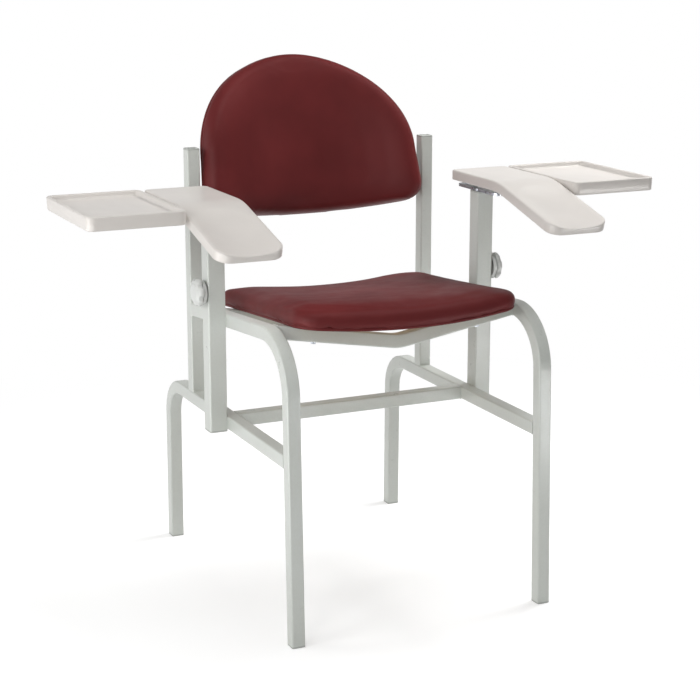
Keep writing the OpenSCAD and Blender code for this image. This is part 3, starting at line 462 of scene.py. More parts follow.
def zinc_plate():
    """Bluish zinc: mottled, with faint darker blooms."""
    s = Shader("zinc_plate")
    mottle = s.weighed(s.cells(70.0, "SMOOTH_F1"), 0.5, s.noise(35.0, 5.0, 0.6), 0.6)
    base = s.ramp(mottle, [(0.2, (0.40, 0.43, 0.48)), (0.5, (0.55, 0.58, 0.63)), (0.8, (0.63, 0.66, 0.69))])
    rough = s.span(s.noise(120.0, 4.0, 0.6), 0.3, 0.7, 0.24, 0.40)
    fine = s.bump(s.noise(600.0, 3.0, 0.5), 0.12, 0.0002)
    s.set(Metallic=0.9)
    return s.finish(base, rough, fine)


def plywood(tone):
    """Varnished beech plywood with a long grain."""
    s = Shader("beech_plywood")
    grain = s.noise(60.0, 6.0, 0.6, s.place((1.0, 0.06, 0.06)), 0.6)
    pores = s.noise(600.0, 3.0, 0.6, s.place((1.0, 0.05, 0.05)))
    both = s.weighed(grain, 0.75, pores, 0.25)
    base = s.ramp(both, [(0.3, shade(tone, 0.72)), (0.5, tone), (0.72, shade(tone, 1.22))])
    fine = s.bump(both, 0.25, 0.0003)
    s.set(Roughness=0.42, Coat_Weight=0.3, Coat_Roughness=0.2)
    return s.finish(base, None, fine)


FINISHES = {}


def make_finishes(settings):
    FINISHES.update({
        "frame_paint": powder_coat(tuple(settings.paint)),
        "vinyl": vinyl(tuple(settings.vinyl)),
        "arm_shell": moulded("arm_shell", tuple(settings.shell), 0.29, 0.37, 0.12),
        "knob_plastic": moulded("knob_plastic", tuple(settings.knob), 0.27, 0.36, 0.15),
        "grey_plastic": matt_plastic(tuple(settings.plastic)),
        "satin_steel": drawn_steel("satin_steel", (0.66, 0.67, 0.69), (6.0, 6.0, 0.12), 0.24, 0.36),
        "zinc_steel": zinc_plate(),
        "plywood": plywood(tuple(settings.wood)),
    })


# Mesh helpers
def added(name, data):
    """A new object in the scene."""
    obj = bpy.data.objects.new(name, data)
    bpy.context.scene.collection.objects.link(obj)
    return obj


def shade_faces(mesh, smooth):
    for polygon in mesh.polygons:
        polygon.use_smooth = smooth


def mesh_piece(name, verts, faces, material, smooth=True):
    mesh = bpy.data.meshes.new(name)
    mesh.from_pydata([tuple(v) for v in verts], [], faces)
    mesh.validate()
    bm = bmesh.new()
    bm.from_mesh(mesh)
    bmesh.ops.remove_doubles(bm, verts=bm.verts, dist=2e-6)
    bmesh.ops.recalc_face_normals(bm, faces=bm.faces)
    bm.to_mesh(mesh)
    bm.free()
    shade_faces(mesh, smooth)
    mesh.materials.append(material)
    return added(name, mesh)


def bake(obj):
    """Turns an object's modifiers into a plain mesh and takes them off."""
    bpy.context.view_layer.update()
    depsgraph = bpy.context.evaluated_depsgraph_get()
    mesh = bpy.data.meshes.new_from_object(obj.evaluated_get(depsgraph))
    mesh.name = obj.name
    obj.modifiers.clear()
    old = obj.data
    obj.data = mesh
    if old.users == 0:
        bpy.data.meshes.remove(old)


def modified(obj, kind, **values):
    """Applies one modifier with these settings."""
    modifier = obj.modifiers.new(kind.lower(), kind)
    for key, value in values.items():
        setattr(modifier, key, value)
    bake(obj)


def soften(obj, degrees):
    """Smooth shading that keeps the edges sharper than this angle."""
    mesh = obj.data
    limit = math.radians(degrees)
    bm = bmesh.new()
    bm.from_mesh(mesh)
    for edge in bm.edges:
        edge.smooth = not (len(edge.link_faces) == 2 and edge.calc_face_angle(0.0) > limit)
    bm.to_mesh(mesh)
    bm.free()
    shade_faces(mesh, True)


def cosd(degrees):
    return math.cos(math.radians(degrees))


def sind(degrees):
    return math.sin(math.radians(degrees))


def from_front(x, y, z):
    """A point whose y is measured from the front of the feet."""
    return Vector((x, y - FRAME_DEPTH / 2, z))


def circle(radius, z, steps):
    """Points round the Z axis at one height."""
    turns = [2 * math.pi * k / steps for k in range(steps)]
    return [Vector((radius * math.cos(a), radius * math.sin(a), z)) for a in turns]


def arc(cx, cy, radius, start, end, steps):
    angles = [start + (end - start) * i / steps for i in range(steps + 1)]
    return [(cx + radius * cosd(a), cy + radius * sind(a)) for a in angles]


def even_loop(points, count):
    """The closed outline with this many points, evenly spaced along it."""
    n = len(points)
    runs = [0.0]
    for i in range(n):
        a, b = points[i], points[(i + 1) % n]
        runs.append(runs[-1] + math.hypot(b[0] - a[0], b[1] - a[1]))
    out, j = [], 0
    for k in range(count):
        goal = runs[-1] * k / count
        while runs[j + 1] < goal:
            j += 1
        a, b = points[j], points[(j + 1) % n]
        share = (goal - runs[j]) / max(runs[j + 1] - runs[j], 1e-9)
        out.append((a[0] + (b[0] - a[0]) * share, a[1] + (b[1] - a[1]) * share))
    return out


def drawn_in(point, centre, share, inset):
    """A point of an outline moved towards the centre by a length and then scaled by a share."""
    dx, dy = point[0] - centre[0], point[1] - centre[1]
    k = share * (1.0 - inset / math.hypot(dx, dy))
    return centre[0] + dx * k, centre[1] + dy * k


def banded(rings, joined=False):
    """Verts and faces between rings of points; the last ring can join the first."""
    n, m = len(rings[0]), len(rings)
    faces = [(i * n + j, i * n + (j + 1) % n, (i + 1) % m * n + (j + 1) % n, (i + 1) % m * n + j)
             for i in range(m if joined else m - 1) for j in range(n)]
    return [v for ring in rings for v in ring], faces


def closed_rings(rings, cap_low, cap_high):
    """Verts and faces of a form made of rings of points, closed by a point at each end."""
    verts, faces = banded(rings)
    n, last = len(rings[0]), len(verts) - len(rings[0])
    low, high = len(verts), len(verts) + 1
    faces += [(low, (j + 1) % n, j) for j in range(n)]
    faces += [(high, last + j, last + (j + 1) % n) for j in range(n)]
    return [*verts, cap_low, cap_high], faces


def path_piece(name, paths):
    """A mesh of edges only, one chain of them for each path of points."""
    verts, edges = [], []
    for path in paths:
        base = len(verts)
        verts += [tuple(v) for v in path]
        edges += [(base + i, base + i + 1) for i in range(len(path) - 1)]
    mesh = bpy.data.meshes.new(name)
    mesh.from_pydata(verts, edges, [])
    return added(name, mesh)


def along_paths(name, paths, shape, values, material):
    """One body of a small shape repeated along paths by geometry nodes; values are their named inputs."""
    tree = bpy.data.node_groups.new(name + "_nodes", "GeometryNodeTree")
    kinds = {label: "Int" if isinstance(value, int) else "Float" for label, value in values.items()}
    ids = {}
    for label, kind in {"Geometry": "Geometry", **kinds, "Material": "Material"}.items():
        socket = tree.interface.new_socket(label, in_out="INPUT", socket_type="NodeSocket" + kind)
        ids[label] = socket.identifier
    tree.interface.new_socket("Geometry", in_out="OUTPUT", socket_type="NodeSocketGeometry")

    n = Nodes(tree)
    start = n.add("NodeGroupInput").outputs
    curve = n.add("GeometryNodeMeshToCurve", {"Mesh": start["Geometry"]}).outputs["Curve"]
    even = n.add("GeometryNodeResampleCurve", {"Curve": curve, "Length": start["Spacing"]}, mode="LENGTH")
    if shape == "GeometryNodeMeshCube":
        size = {"X": start["Length"], "Y": start["Width"], "Z": start["Height"]}
        part = n.add(shape, {"Size": n.add("ShaderNodeCombineXYZ", size).outputs[0]})
    else:
        part = n.add(shape, {"Subdivisions": 2, "Radius": start["Radius"]})
    tangent = n.add("GeometryNodeInputTangent").outputs["Tangent"]
    turned = n.add("FunctionNodeAlignRotationToVector", {"Vector": tangent}, axis="X")
    sway = n.add("FunctionNodeRandomValue", {3: start["Sway"], "Seed": start["Seed"]}, data_type="FLOAT")
    tilt = n.add("ShaderNodeCombineXYZ", {"Z": sway.outputs[1]})
    both = {0: turned.outputs[0], 1: tilt.outputs[0]}
    swayed = n.add("FunctionNodeRotateRotation", both, rotation_space="LOCAL")
    range_and_seed = {2: SMALLEST_COPY, 3: 1.0, "Seed": start["Seed"]}
    grown = n.add("FunctionNodeRandomValue", range_and_seed, data_type="FLOAT")
    copies = n.add("GeometryNodeInstanceOnPoints", {
        "Points": even.outputs["Curve"], "Instance": part.outputs["Mesh"],
        "Rotation": swayed.outputs[0], "Scale": grown.outputs[1]})
    real = n.add("GeometryNodeRealizeInstances", {"Geometry": copies.outputs["Instances"]})
    finish = {"Geometry": real.outputs["Geometry"], "Material": start["Material"]}
    painted = n.add("GeometryNodeSetMaterial", finish)
    n.add("NodeGroupOutput", {"Geometry": painted.outputs["Geometry"]})

    obj = path_piece(name, paths)
    nodes = obj.modifiers.new("repeat", "NODES")
    nodes.node_group = tree
    for label, value in {**values, "Material": material}.items():
        nodes[ids[label]] = value
    bake(obj)
    if not obj.data.polygons:
        raise RuntimeError(name + ": the geometry nodes made no faces")
    shade_faces(obj.data, shape != "GeometryNodeMeshCube")
    return obj


# Cushions
def seat_outline(p):
    hr, hf = p.rear_width / 2, p.front_width / 2
    r, f = p.rear_radius, p.front_radius
    pts = arc(hr - r, p.rear_y - r, r, 0, 90, 14)
    pts += arc(-hr + r, p.rear_y - r, r, 90, 180, 14)
    pts += arc(-hf + f, p.front_y + f, f, 180, 270, 14)
    for i in range(1, 24):
        t = 2 * i / 24 - 1
        pts.append(((hf - f) * t, p.front_y - p.bow * (1 - t * t)))
    pts += arc(hf - f, p.front_y + f, f, 270, 360, 14)
    return even_loop(pts, OUTLINE_POINTS)


def back_outline(p):
    low = p.half_width + p.flare
    r = p.corner_radius
    pts = [(p.half_width * cosd(a), p.side_height + p.arch_height * sind(a)) for a in range(0, 181, 3)]
    pts += arc(-low + r, r, r, 180, 270, 10)
    for i in range(1, 32):
        t = i / 16 - 1
        pts.append(((low - r) * t, -p.sag * (1 - t * t)))
    pts += arc(low - r, r, r, 270, 360, 10)
    return even_loop(pts, OUTLINE_POINTS)


def cushion_profile(t, u):
    """Rings of a cushion: share, inset and depth, from the middle of the face round the rim and under it."""
    board, inset, s, edge = u.board, u.inset, u.shrink, u.edge
    face = ((0.20, 0), (0.40, 0.0001), (0.60, 0.0003), (0.78, 0.0006))
    rings = [(share, s, t - sink - s) for share, sink in face]
    rings.append((1, edge * 1.7 + s, t - 0.0010 - s))
    for k in range(0, 91, 15):
        rings.append((1, edge * 1.08 * (1 - sind(k)) + s, t - 0.0014 - edge * (1 - cosd(k)) - s))
    rings += [(1, s, t * 0.42), (1, inset * 0.06 + s, t * 0.25), (1, inset * 0.26 + s, t * 0.11),
              (1, inset * 0.62, 0.0008), (1, inset - 0.0006, 0.0003), (1, inset - 0.0006, board + 0.0006),
              (0.6, 0, board + 0.0006), (0.3, 0, board + 0.0006)]
    return rings


def cushion_form(outline, centre, profile, place):
    rings = [[place(*drawn_in(p, centre, share, inset), depth) for p in outline]
             for share, inset, depth in profile]
    return closed_rings(rings, place(*centre, profile[0][2]), place(*centre, profile[-1][2]))


def seat_placer(p, board):
    """Places on the dished seat: across, from the front, and up from the underside."""
    cos_s, sin_s = math.cos(p.slope), math.sin(p.slope)
    half = p.front_width / 2

    def place(x, y, depth):
        z = -p.drop + p.dish * (x / half) ** 2 + depth
        if depth > board + 0.0008:
            full = p.crown * (1 - (x / half) ** 2) * (p.rear_y - y) / (p.rear_y - p.front_y)
            z += full * (depth - board) / (p.thickness - board)
        return from_front(x, y * cos_s + z * sin_s, p.line_height - y * sin_s + z * cos_s)

    return place


def back_placer(p):
    """Places on the curved back: across, up from the bottom, and forward from the rear face."""
    cos_r, sin_r = math.cos(p.recline), math.sin(p.recline)
    curve = p.curve_radius

    def place(x, z, depth):
        a = math.asin(max(-1.0, min(1.0, x / curve)))
        r = curve + p.thickness / 2 - depth
        y = r * math.cos(a) - curve
        return from_front(r * math.sin(a), p.y + y * cos_r + z * sin_r, p.z - y * sin_r + z * cos_r)

    return place


def swell(obj, pressure, cap, pinned):
    """Lets a short cloth simulation swell a cushion, each point by the cap at most."""
    start = [v.co.copy() for v in obj.data.vertices]
    group = obj.vertex_groups.new(name="held")
    group.add([i for i, co in enumerate(start) if pinned(co)], 1.0, "REPLACE")
    cloth = obj.modifiers.new("swell", "CLOTH")
    for key, value in CLOTH.items():
        setattr(cloth.settings, key, value)
    cloth.settings.uniform_pressure_force = pressure
    cloth.settings.effector_weights.gravity = 0
    cloth.point_cache.frame_start, cloth.point_cache.frame_end = 1, SWELL_FRAMES
    scene = bpy.context.scene
    for f in range(1, SWELL_FRAMES + 1):
        scene.frame_set(f)
    bake(obj)
    scene.frame_set(1)
    moves = [v.co - a for v, a in zip(obj.data.vertices, start)]
    moves = [m * min(1.0, cap / max(m.length, 1e-9)) for m in moves]
    for v, a, m in zip(obj.data.vertices, start, evened(obj.data, moves, EVEN_ROUNDS)):
        v.co = a + m
    obj.vertex_groups.clear()


def evened(mesh, values, rounds):
    """Vectors at the vertices, averaged with their neighbours this many times."""
    links = [[] for _ in mesh.vertices]
    for edge in mesh.edges:
        a, b = edge.vertices
        links[a].append(b)
        links[b].append(a)
    for _ in range(rounds):
        sums = [v + sum((values[j] for j in near), Vector()) for v, near in zip(values, links)]
        values = [total / (len(near) + 1) for total, near in zip(sums, links)]
    return values


def cushion(name, node, outline, centre, thickness, place, up):
    """One cushion with its cover; up gives the height of a point over the underside."""
    u = bpy.context.scene.chair_upholstery
    verts, faces = cushion_form(outline, centre, cushion_profile(thickness, u), place)
    obj = mesh_piece(name, verts, faces, FINISHES["vinyl"])
    low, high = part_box(node)
    modified(obj, "REMESH", mode="VOXEL", voxel_size=u.voxel, use_smooth_shade=True)
    swell(obj, u.pressure, u.cap, lambda co: up(co) < u.board + HELD)
    modified(obj, "SMOOTH", factor=0.5, iterations=5)
    modified(obj, "SUBSURF", levels=1, render_levels=1)
    for v in obj.data.vertices:
        for i in range(3):
            v.co[i] = min(max(v.co[i], low[i] - OVERHANG), high[i] + OVERHANG)
    shade_faces(obj.data, True)
    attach(obj, "frame")
    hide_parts(node)


class CHAIR_OT_finishes(bpy.types.Operator):
    """Gives every carried-over piece its finish"""

    bl_idname = "chair.finishes"
    bl_label = "Finishes"

    def execute(self, context):
        make_finishes(context.scene.chair_finish)
        slots = {part["node"]: part["material_slot"] for part in frame["record"]["subparts"]}
        for name, obj in NODES.items():
            material = FINISHES[slots[name]]
            if "bracket" in name and "spacers" not in name:
                material = FINISHES["zinc_steel"]
            for i in range(max(1, len(obj.material_slots))):
                if not obj.material_slots:
                    obj.data.materials.append(material)
                obj.material_slots[i].material = material
        return {"FINISHED"}


class CHAIR_OT_seat_cushion(bpy.types.Operator):
    """Makes the dished and crowned seat cushion"""

    bl_idname = "chair.seat_cushion"
    bl_label = "Seat cushion"

    def execute(self, context):
        p, u = context.scene.chair_seat, context.scene.chair_upholstery
        half = p.front_width / 2

        def up(co):
            y0, z0 = co.y + FRAME_DEPTH / 2, co.z - p.line_height
            z = z0 * math.cos(p.slope) + y0 * math.sin(p.slope)
            return z + p.drop - p.dish * (co.x / half) ** 2

        cushion("seat_cushion_cover", "seat_cushion", seat_outline(p), (0.0, (p.front_y + p.rear_y) / 2),
                p.thickness, seat_placer(p, u.board), up)
        return {"FINISHED"}


def hem(name, outline, centre, place, reach):
    """The cover's border, drawn round the edge of a board and over its hidden face."""
    n, rings = len(outline), []
    turn = ((reach - 0.0006, -0.0011), (reach, -0.0006), (reach - 0.0008, 0.0002))
    for inset, depth in (*HEM_EDGE, *turn, *HEM_INSIDE):
        ring = []
        for j, point in enumerate(outline):
            a = 2 * math.pi * j / n
            wave = math.sin(17 * a) + 0.6 * math.sin(29 * a + 1.3) + 0.4 * math.sin(53 * a + 0.4)
            inner = max(0.0, inset - PLEAT_START) / (reach - PLEAT_START)
            sink = PLEAT_SINK * (1 + wave / 2) * min(1.0, 4 * inner) * (depth < 0)
            ring.append(place(*drawn_in(point, centre, 1.0, inset + PLEAT_WAVE * wave * inner), depth - sink))
        rings.append(ring)
    verts, faces = banded(rings, True)
    obj = mesh_piece(name, verts, faces, FINISHES["vinyl"])
    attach(obj, "frame")


class CHAIR_OT_hems(bpy.types.Operator):
    """Draws the cover's hems round both boards, with the seat's staples and the back's welt"""

    bl_idname = "chair.hems"
    bl_label = "Hems, staples and welt"

    def execute(self, context):
        seat, back, u = context.scene.chair_seat, context.scene.chair_back, context.scene.chair_upholstery
        centre, place = (0.0, (seat.front_y + seat.rear_y) / 2), seat_placer(seat, u.board)
        outline = seat_outline(seat)
        hem("seat_hem", outline, centre, place, u.hem)
        path = [place(*drawn_in(q, centre, 1.0, u.hem - STAPLE_IN), STAPLE_DEPTH) for q in outline]
        staples = along_paths("seat_staples", [path + path[:1]], "GeometryNodeMeshCube",
                              {"Spacing": u.staple_spacing, **STAPLE}, FINISHES["zinc_steel"])
        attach(staples, "frame")
        centre, place = (0.0, back.side_height), back_placer(back)
        outline = back_outline(back)
        hem("back_hem", outline, centre, place, BACK_HEM)
        rings = [[place(*drawn_in(q, centre, 1.0, WELT_INSET + v.x), WELT_DEPTH + v.y) for q in outline]
                 for v in circle(WELT_RADIUS, 0.0, 12)]
        verts, faces = banded(rings, True)
        welt = mesh_piece("back_welt", verts, faces, FINISHES["vinyl"])
        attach(welt, "frame")
        return {"FINISHED"}


class CHAIR_OT_back_cushion(bpy.types.Operator):
    """Makes the curved and arched back cushion"""

    bl_idname = "chair.back_cushion"
    bl_label = "Back cushion"

    def execute(self, context):
        p = context.scene.chair_back

        def up(co):
            y0, z0 = co.y + FRAME_DEPTH / 2 - p.y, co.z - p.z
            y = y0 * math.cos(p.recline) - z0 * math.sin(p.recline)
            return p.curve_radius + p.thickness / 2 - math.hypot(co.x, y + p.curve_radius)

        cushion("back_cushion_cover", "back_cushion", back_outline(p), (0.0, p.side_height),
                p.thickness, back_placer(p), up)
        return {"FINISHED"}


# Mouldings
def rounded_loop(x0, x1, y0, y1, r_front, r_rear, inset, side_steps, end_steps):
    """Outline of a rectangle with round corners, drawn in by a length; always the same number of points."""
    x0, x1, y0, y1 = x0 + inset, x1 - inset, y0 + inset, y1 - inset
    rf, rr = max(r_front - inset, 0.0004), max(r_rear - inset, 0.0004)
    corners = [(x1 - rr, y1 - rr, rr, 0), (x0 + rr, y1 - rr, rr, 90),
               (x0 + rf, y0 + rf, rf, 180), (x1 - rf, y0 + rf, rf, 270)]
    arcs = [arc(cx, cy, r, start, start + 90, 10) for cx, cy, r, start in corners]
    out = []
    for i, pts in enumerate(arcs):
        (ax, ay), (bx, by) = pts[-1], arcs[(i + 1) % 4][0]
        steps = end_steps if i % 2 == 0 else side_steps
        out += pts
        out += [(ax + (bx - ax) * k / steps, ay + (by - ay) * k / steps) for k in range(1, steps)]
    return out


def to_spine(loop, spine, share):
    """Points of a loop moved towards a line along its middle, by a share of the way."""
    (sx, sy0), (_, sy1) = spine
    return [(x + (sx - x) * share, y + (min(max(y, sy0), sy1) - y) * share) for x, y in loop]


def quarter(inset0, depth0, radius, start, end, steps):
    """Insets and depths round an edge; 0 degrees points inwards, 90 up."""
    return [(inset0 + x, depth0 - y) for x, y in arc(0.0, 0.0, radius, start, end, steps)]


def strip_placer(p):
    """Places across, along and under the bent top of an arm rest, and the length along that top."""
    fall, bend = p.fall, p.bend_radius
    run = bend * math.tan(fall / 2)
    straight = (p.bend_y - p.front_y) / math.cos(fall) - run
    curve = bend * fall
    front_z = p.top - (p.bend_y - p.front_y) * math.tan(fall)
    centre_y, centre_z = p.bend_y + run, p.top - bend

    def place(x, s, d):
        if s <= straight:
            y = p.front_y + s * math.cos(fall) + d * math.sin(fall)
            return from_front(x, y, front_z + s * math.sin(fall) - d * math.cos(fall))
        if s <= straight + curve:
            a = fall - (s - straight) / bend
            return from_front(x, centre_y - (bend - d) * math.sin(a), centre_z + (bend - d) * math.cos(a))
        return from_front(x, centre_y + s - straight - curve, p.top - d)

    return place, straight + curve + p.rear_y - centre_y


def trough_depth(p):
    """Depth of the trough at a place on the top of an arm rest, with a soft crease at its edge."""
    r = (p.trough_width ** 2 / 4 + p.trough_depth ** 2) / (2 * p.trough_depth)
    run = 0.64 * (p.bend_y - p.front_y)
    middle = p.inner + p.width / 2

    def depth(x, s):
        far = max(0.0, s - run)
        d = p.trough_depth - ((x - middle) ** 2 + far ** 2) / (2 * r)
        return (d + math.sqrt(d * d + SOFT_CREASE ** 2)) / 2

    return depth


def merged(parts):
    verts, faces = [], []
    for v, f in parts:
        base = len(verts)
        verts += v
        faces += [tuple(i + base for i in face) for face in f]
    return verts, faces


def on_side(verts, side):
    return [Vector((side * v[0], v[1], v[2])) for v in verts]


def boss(x, y, place, low, high):
    """A round boss with a small edge under a moulding; place puts across, along and the height in space."""
    rings = []
    narrow, edge = BOSS - BOSS_EDGE, BOSS_EDGE
    for r, h in ((narrow, low), (BOSS, low + edge), (BOSS, high - edge), (narrow, high)):
        rings.append([place(x + v.x, y + v.y, h) for v in circle(r, 0.0, 40)])
    return closed_rings(rings, place(x, y, low), place(x, y, high))


def arm_rest_form(p):
    """The arm rest's shell from the middle of its top round the rim to the middle of its underside."""
    place, total = strip_placer(p)
    trough = trough_depth(p)
    middle, t = p.inner + p.width / 2, p.thickness
    spine = ((middle, p.width / 2), (middle, total - p.width / 2))

    def loop(inset):
        return rounded_loop(p.inner, p.inner + p.width, 0.0, total, p.front_radius, p.rear_radius,
                            inset, 104, 34)

    def top(points, extra=0.0):
        return [place(x, s, trough(x, s) + extra) for x, s in points]

    rim = loop(p.edge)
    rings = [top(to_spine(rim, spine, (1 - k / 24) ** 1.05)) for k in range(25)]
    for inset, depth in quarter(p.edge, p.edge, p.edge, 100, 180, 6)[1:]:
        follow = max(0.0, 1 - depth / TROUGH_FADE)
        rings.append([place(x, s, depth + trough(x, s) * follow) for x, s in loop(inset)])
    rings.append([place(x, s, t * 0.55) for x, s in loop(0.0)])
    for inset, depth in quarter(LOWER_EDGE, t - LOWER_EDGE, LOWER_EDGE, 180, 262, 5):
        rings.append([place(x, s, depth) for x, s in loop(inset)])
    for inset, depth in ((p.skin - 0.0006, t), (p.skin, t - 0.0008)):
        rings.append([place(x, s, depth) for x, s in loop(inset)])
    rings.append([place(x, s, p.skin + max(0.0105, trough(x, s) + 0.002)) for x, s in loop(p.skin + 0.0006)])
    inner = loop(p.skin + 0.002)
    rings += [top(to_spine(inner, spine, k / 12), p.skin) for k in range(13)]
    return banded(rings), place, total


class CHAIR_OT_arm_rests(bpy.types.Operator):
    """Makes the two moulded arm rests with their troughs"""

    bl_idname = "chair.arm_rests"
    bl_label = "Arm rests"

    def execute(self, context):
        p = context.scene.chair_arm
        form, place, total = arm_rest_form(p)
        x, end = p.inner + BOSS_IN, total - p.rear_y
        bosses = [boss(x, end + y, place, p.skin * 0.5, p.thickness)
                  for y in (p.rear_y - BOSS_FROM_REAR, p.front_y + BOSS_FROM_FRONT)]
        verts, faces = merged([form, *bosses])
        for side, label in SIDES:
            obj = mesh_piece(label + "_arm_rest_moulding", on_side(verts, side), faces, FINISHES["arm_shell"])
            soften(obj, 50.0)
            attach(obj, label + "_arm")
            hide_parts(label + "_arm_rest")
        return {"FINISHED"}


def tray_form(p, a):
    """A tray from the middle of its floor over the rim and round its wall to the floor's underside."""
    x0 = a.inner + a.width + p.gap
    x1, y0, y1 = x0 + p.width, p.front_y, p.front_y + p.length_y
    top, low, e, skin = a.top, a.top - p.height, p.edge, a.skin
    floor = top - p.depth
    foot, lip, wall = 0.0055, 0.0026, p.rim - 0.0012
    profile = [(inset, floor) for inset in (0.0870, 0.060, 0.040, 0.026, 0.019)]
    profile += [(wall + 0.0016 + foot * (1 - sind(k)), floor + foot * (1 - cosd(k)))
                for k in range(0, 71, 10)]
    profile += [(wall - 0.0004 + 0.0016 * (90 - k) / 90 - lip * (1 - cosd(k)) * 0.9,
                 top - lip + lip * sind(k)) for k in range(10, 91, 16)]
    profile += [(e + e * cosd(k), top - e + e * sind(k)) for k in range(90, 181, 15)]
    profile += [(0.0004, (top + low) / 2), (0.0009, low + 0.0018), (0.0016, low + 0.0006), (0.0028, low)]
    profile += [(skin - 0.0006, low), (skin, low + 0.0006), (skin, floor - skin - 0.002)]
    profile += [(inset, floor - skin) for inset in (skin + 0.002, 0.030, 0.060, 0.0870)]
    rings = [[from_front(x, y, z) for x, y in rounded_loop(x0, x1, y0, y1, p.corner, p.corner, inset, 60, 40)]
             for inset, z in profile]
    cx, cy = (x0 + x1) / 2, (y0 + y1) / 2
    return closed_rings(rings, from_front(cx, cy, floor), from_front(cx, cy, floor - skin)), x0


class CHAIR_OT_trays(bpy.types.Operator):
    """Makes the two moulded trays with their recessed floors"""

    bl_idname = "chair.trays"
    bl_label = "Trays"

    def execute(self, context):
        p, a = context.scene.chair_tray, context.scene.chair_arm
        form, x0 = tray_form(p, a)
        low, high = a.top - p.height, a.top - p.depth - a.skin * 0.5
        bosses = [boss(x0 + share * p.width, TRAY_BOSS_Y, from_front, low, high) for share in TRAY_BOSSES]
        verts, faces = merged([form, *bosses])
        for side, label in SIDES:
            obj = mesh_piece(label + "_tray_moulding", on_side(verts, side), faces, FINISHES["arm_shell"])
            soften(obj, 50.0)
            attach(obj, label + "_arm")
            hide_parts(label + "_tray")
        return {"FINISHED"}


# Frame details
def weld_paths(f, seat):
    """Runs of the weld beads between the tubes, on the right side."""
    t, xi, xo, z1 = f.tube, f.half_width - f.tube, f.half_width, f.rail_top
    z0, edge = z1 - t, WELD_END
    slope, lean = seat.slope, f.front_lean

    def seat_top(y):
        return seat.line_height - y * math.tan(slope)

    def on_seat(x, y, z):
        return from_front(x, y * math.cos(slope) + z * math.sin(slope),
                          seat.line_height - y * math.sin(slope) + z * math.cos(slope))

    def u_run(ya, za, zb, put):
        yb, bend = ya + t, 0.002
        return [put(xi, y, z) for y, z in ((ya, zb - edge), (ya, za + bend), (ya + bend, za),
                                           (yb - bend, za), (yb, za + bend), (yb, zb - edge))]

    def across(y, z):
        return [from_front(x, y, z) for x in (xi + edge, xo - edge)]

    runs = [u_run(f.brace_y, z0, z1, from_front)]
    runs += [u_run(y, -t / math.cos(f.bar_fall), 0.0, on_seat) for y in (f.front_bar_y, f.rear_bar_y)]
    runs += [across(t / math.cos(lean) + z * math.tan(lean), z) for z in (z0, z1)]
    runs += [across(y, z1) for y in (f.upright_y, f.upright_y + t)]
    top = seat_top(f.upright_y)
    runs += [across(f.upright_y, z) for z in (top, top - t / math.cos(slope))]
    for y in (f.post_y + POST_WELD_IN, f.post_y + f.post - POST_WELD_IN):
        top = seat_top(y)
        for low, high in ((z0, z1), (top - t / math.cos(slope), top)):
            runs.append([from_front(xo + POST_WELD_OFF, y, z) for z in (low + edge, high - edge)])
    return runs


class CHAIR_OT_welds(bpy.types.Operator):
    """Lays the weld beads where the frame's tubes meet"""

    bl_idname = "chair.welds"
    bl_label = "Weld beads"

    def execute(self, context):
        f = context.scene.chair_frame
        runs = weld_paths(f, context.scene.chair_seat)
        runs += [on_side(run, -1) for run in runs]
        sizes = {"Spacing": BEAD_SPACING, "Radius": f.bead, "Sway": 1.0, "Seed": 11}
        beads = along_paths("frame_welds", runs, "GeometryNodeMeshIcoSphere", sizes, FINISHES["frame_paint"])
        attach(beads, "frame")
        return {"FINISHED"}


class CHAIR_OT_caps(bpy.types.Operator):
    """Makes the sunk square caps on the back uprights"""

    bl_idname = "chair.caps"
    bl_label = "Upright caps"

    def execute(self, context):
        f = context.scene.chair_frame
        half, top, r = f.tube / 2, f.upright_height, CAP_CORNER
        profile = [(inset, top - down) for inset, down in CAP_TOP]
        profile += [(inset, top - f.cap_height - down) for inset, down in CAP_PLUG]
        y = f.upright_y + half
        parts = []
        for side in (1, -1):
            x = side * (f.half_width - half)
            rings = []
            for inset, z in profile:
                loop = rounded_loop(x - half, x + half, y - half, y + half, r, r, inset, 3, 3)
                rings.append([from_front(a, b, z) for a, b in loop])
            ends = [from_front(x, y, profile[i][1]) for i in (0, -1)]
            parts.append(closed_rings(rings, *ends))
        verts, faces = merged(parts)
        obj = mesh_piece("upright_cap_mouldings", verts, faces, FINISHES["grey_plastic"])
        soften(obj, 40.0)
        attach(obj, "frame")
        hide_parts("upright_caps")
        return {"FINISHED"}


# Knobs
def grip_outline(p):
    """Radius of the notched grip at even angles, from a point on its rim."""
    radius, spread = p.diameter / 2, 2 * math.pi / p.notches
    far = radius + p.notch_radius - p.notch_depth
    out = []
    for k in range(GRIP_POINTS):
        a = 2 * math.pi * k / GRIP_POINTS
        off = (a - NOTCH_TURN * spread + spread / 2) % spread - spread / 2
        inside = p.notch_radius ** 2 - (far * math.sin(off)) ** 2
        out.append(min(radius, far * math.cos(off) - math.sqrt(inside)) if inside > 0 else radius)
    for _ in range(5):
        out = [(out[i - 1] + 2 * out[i] + out[(i + 1) % GRIP_POINTS]) / 4 for i in range(GRIP_POINTS)]
    return out


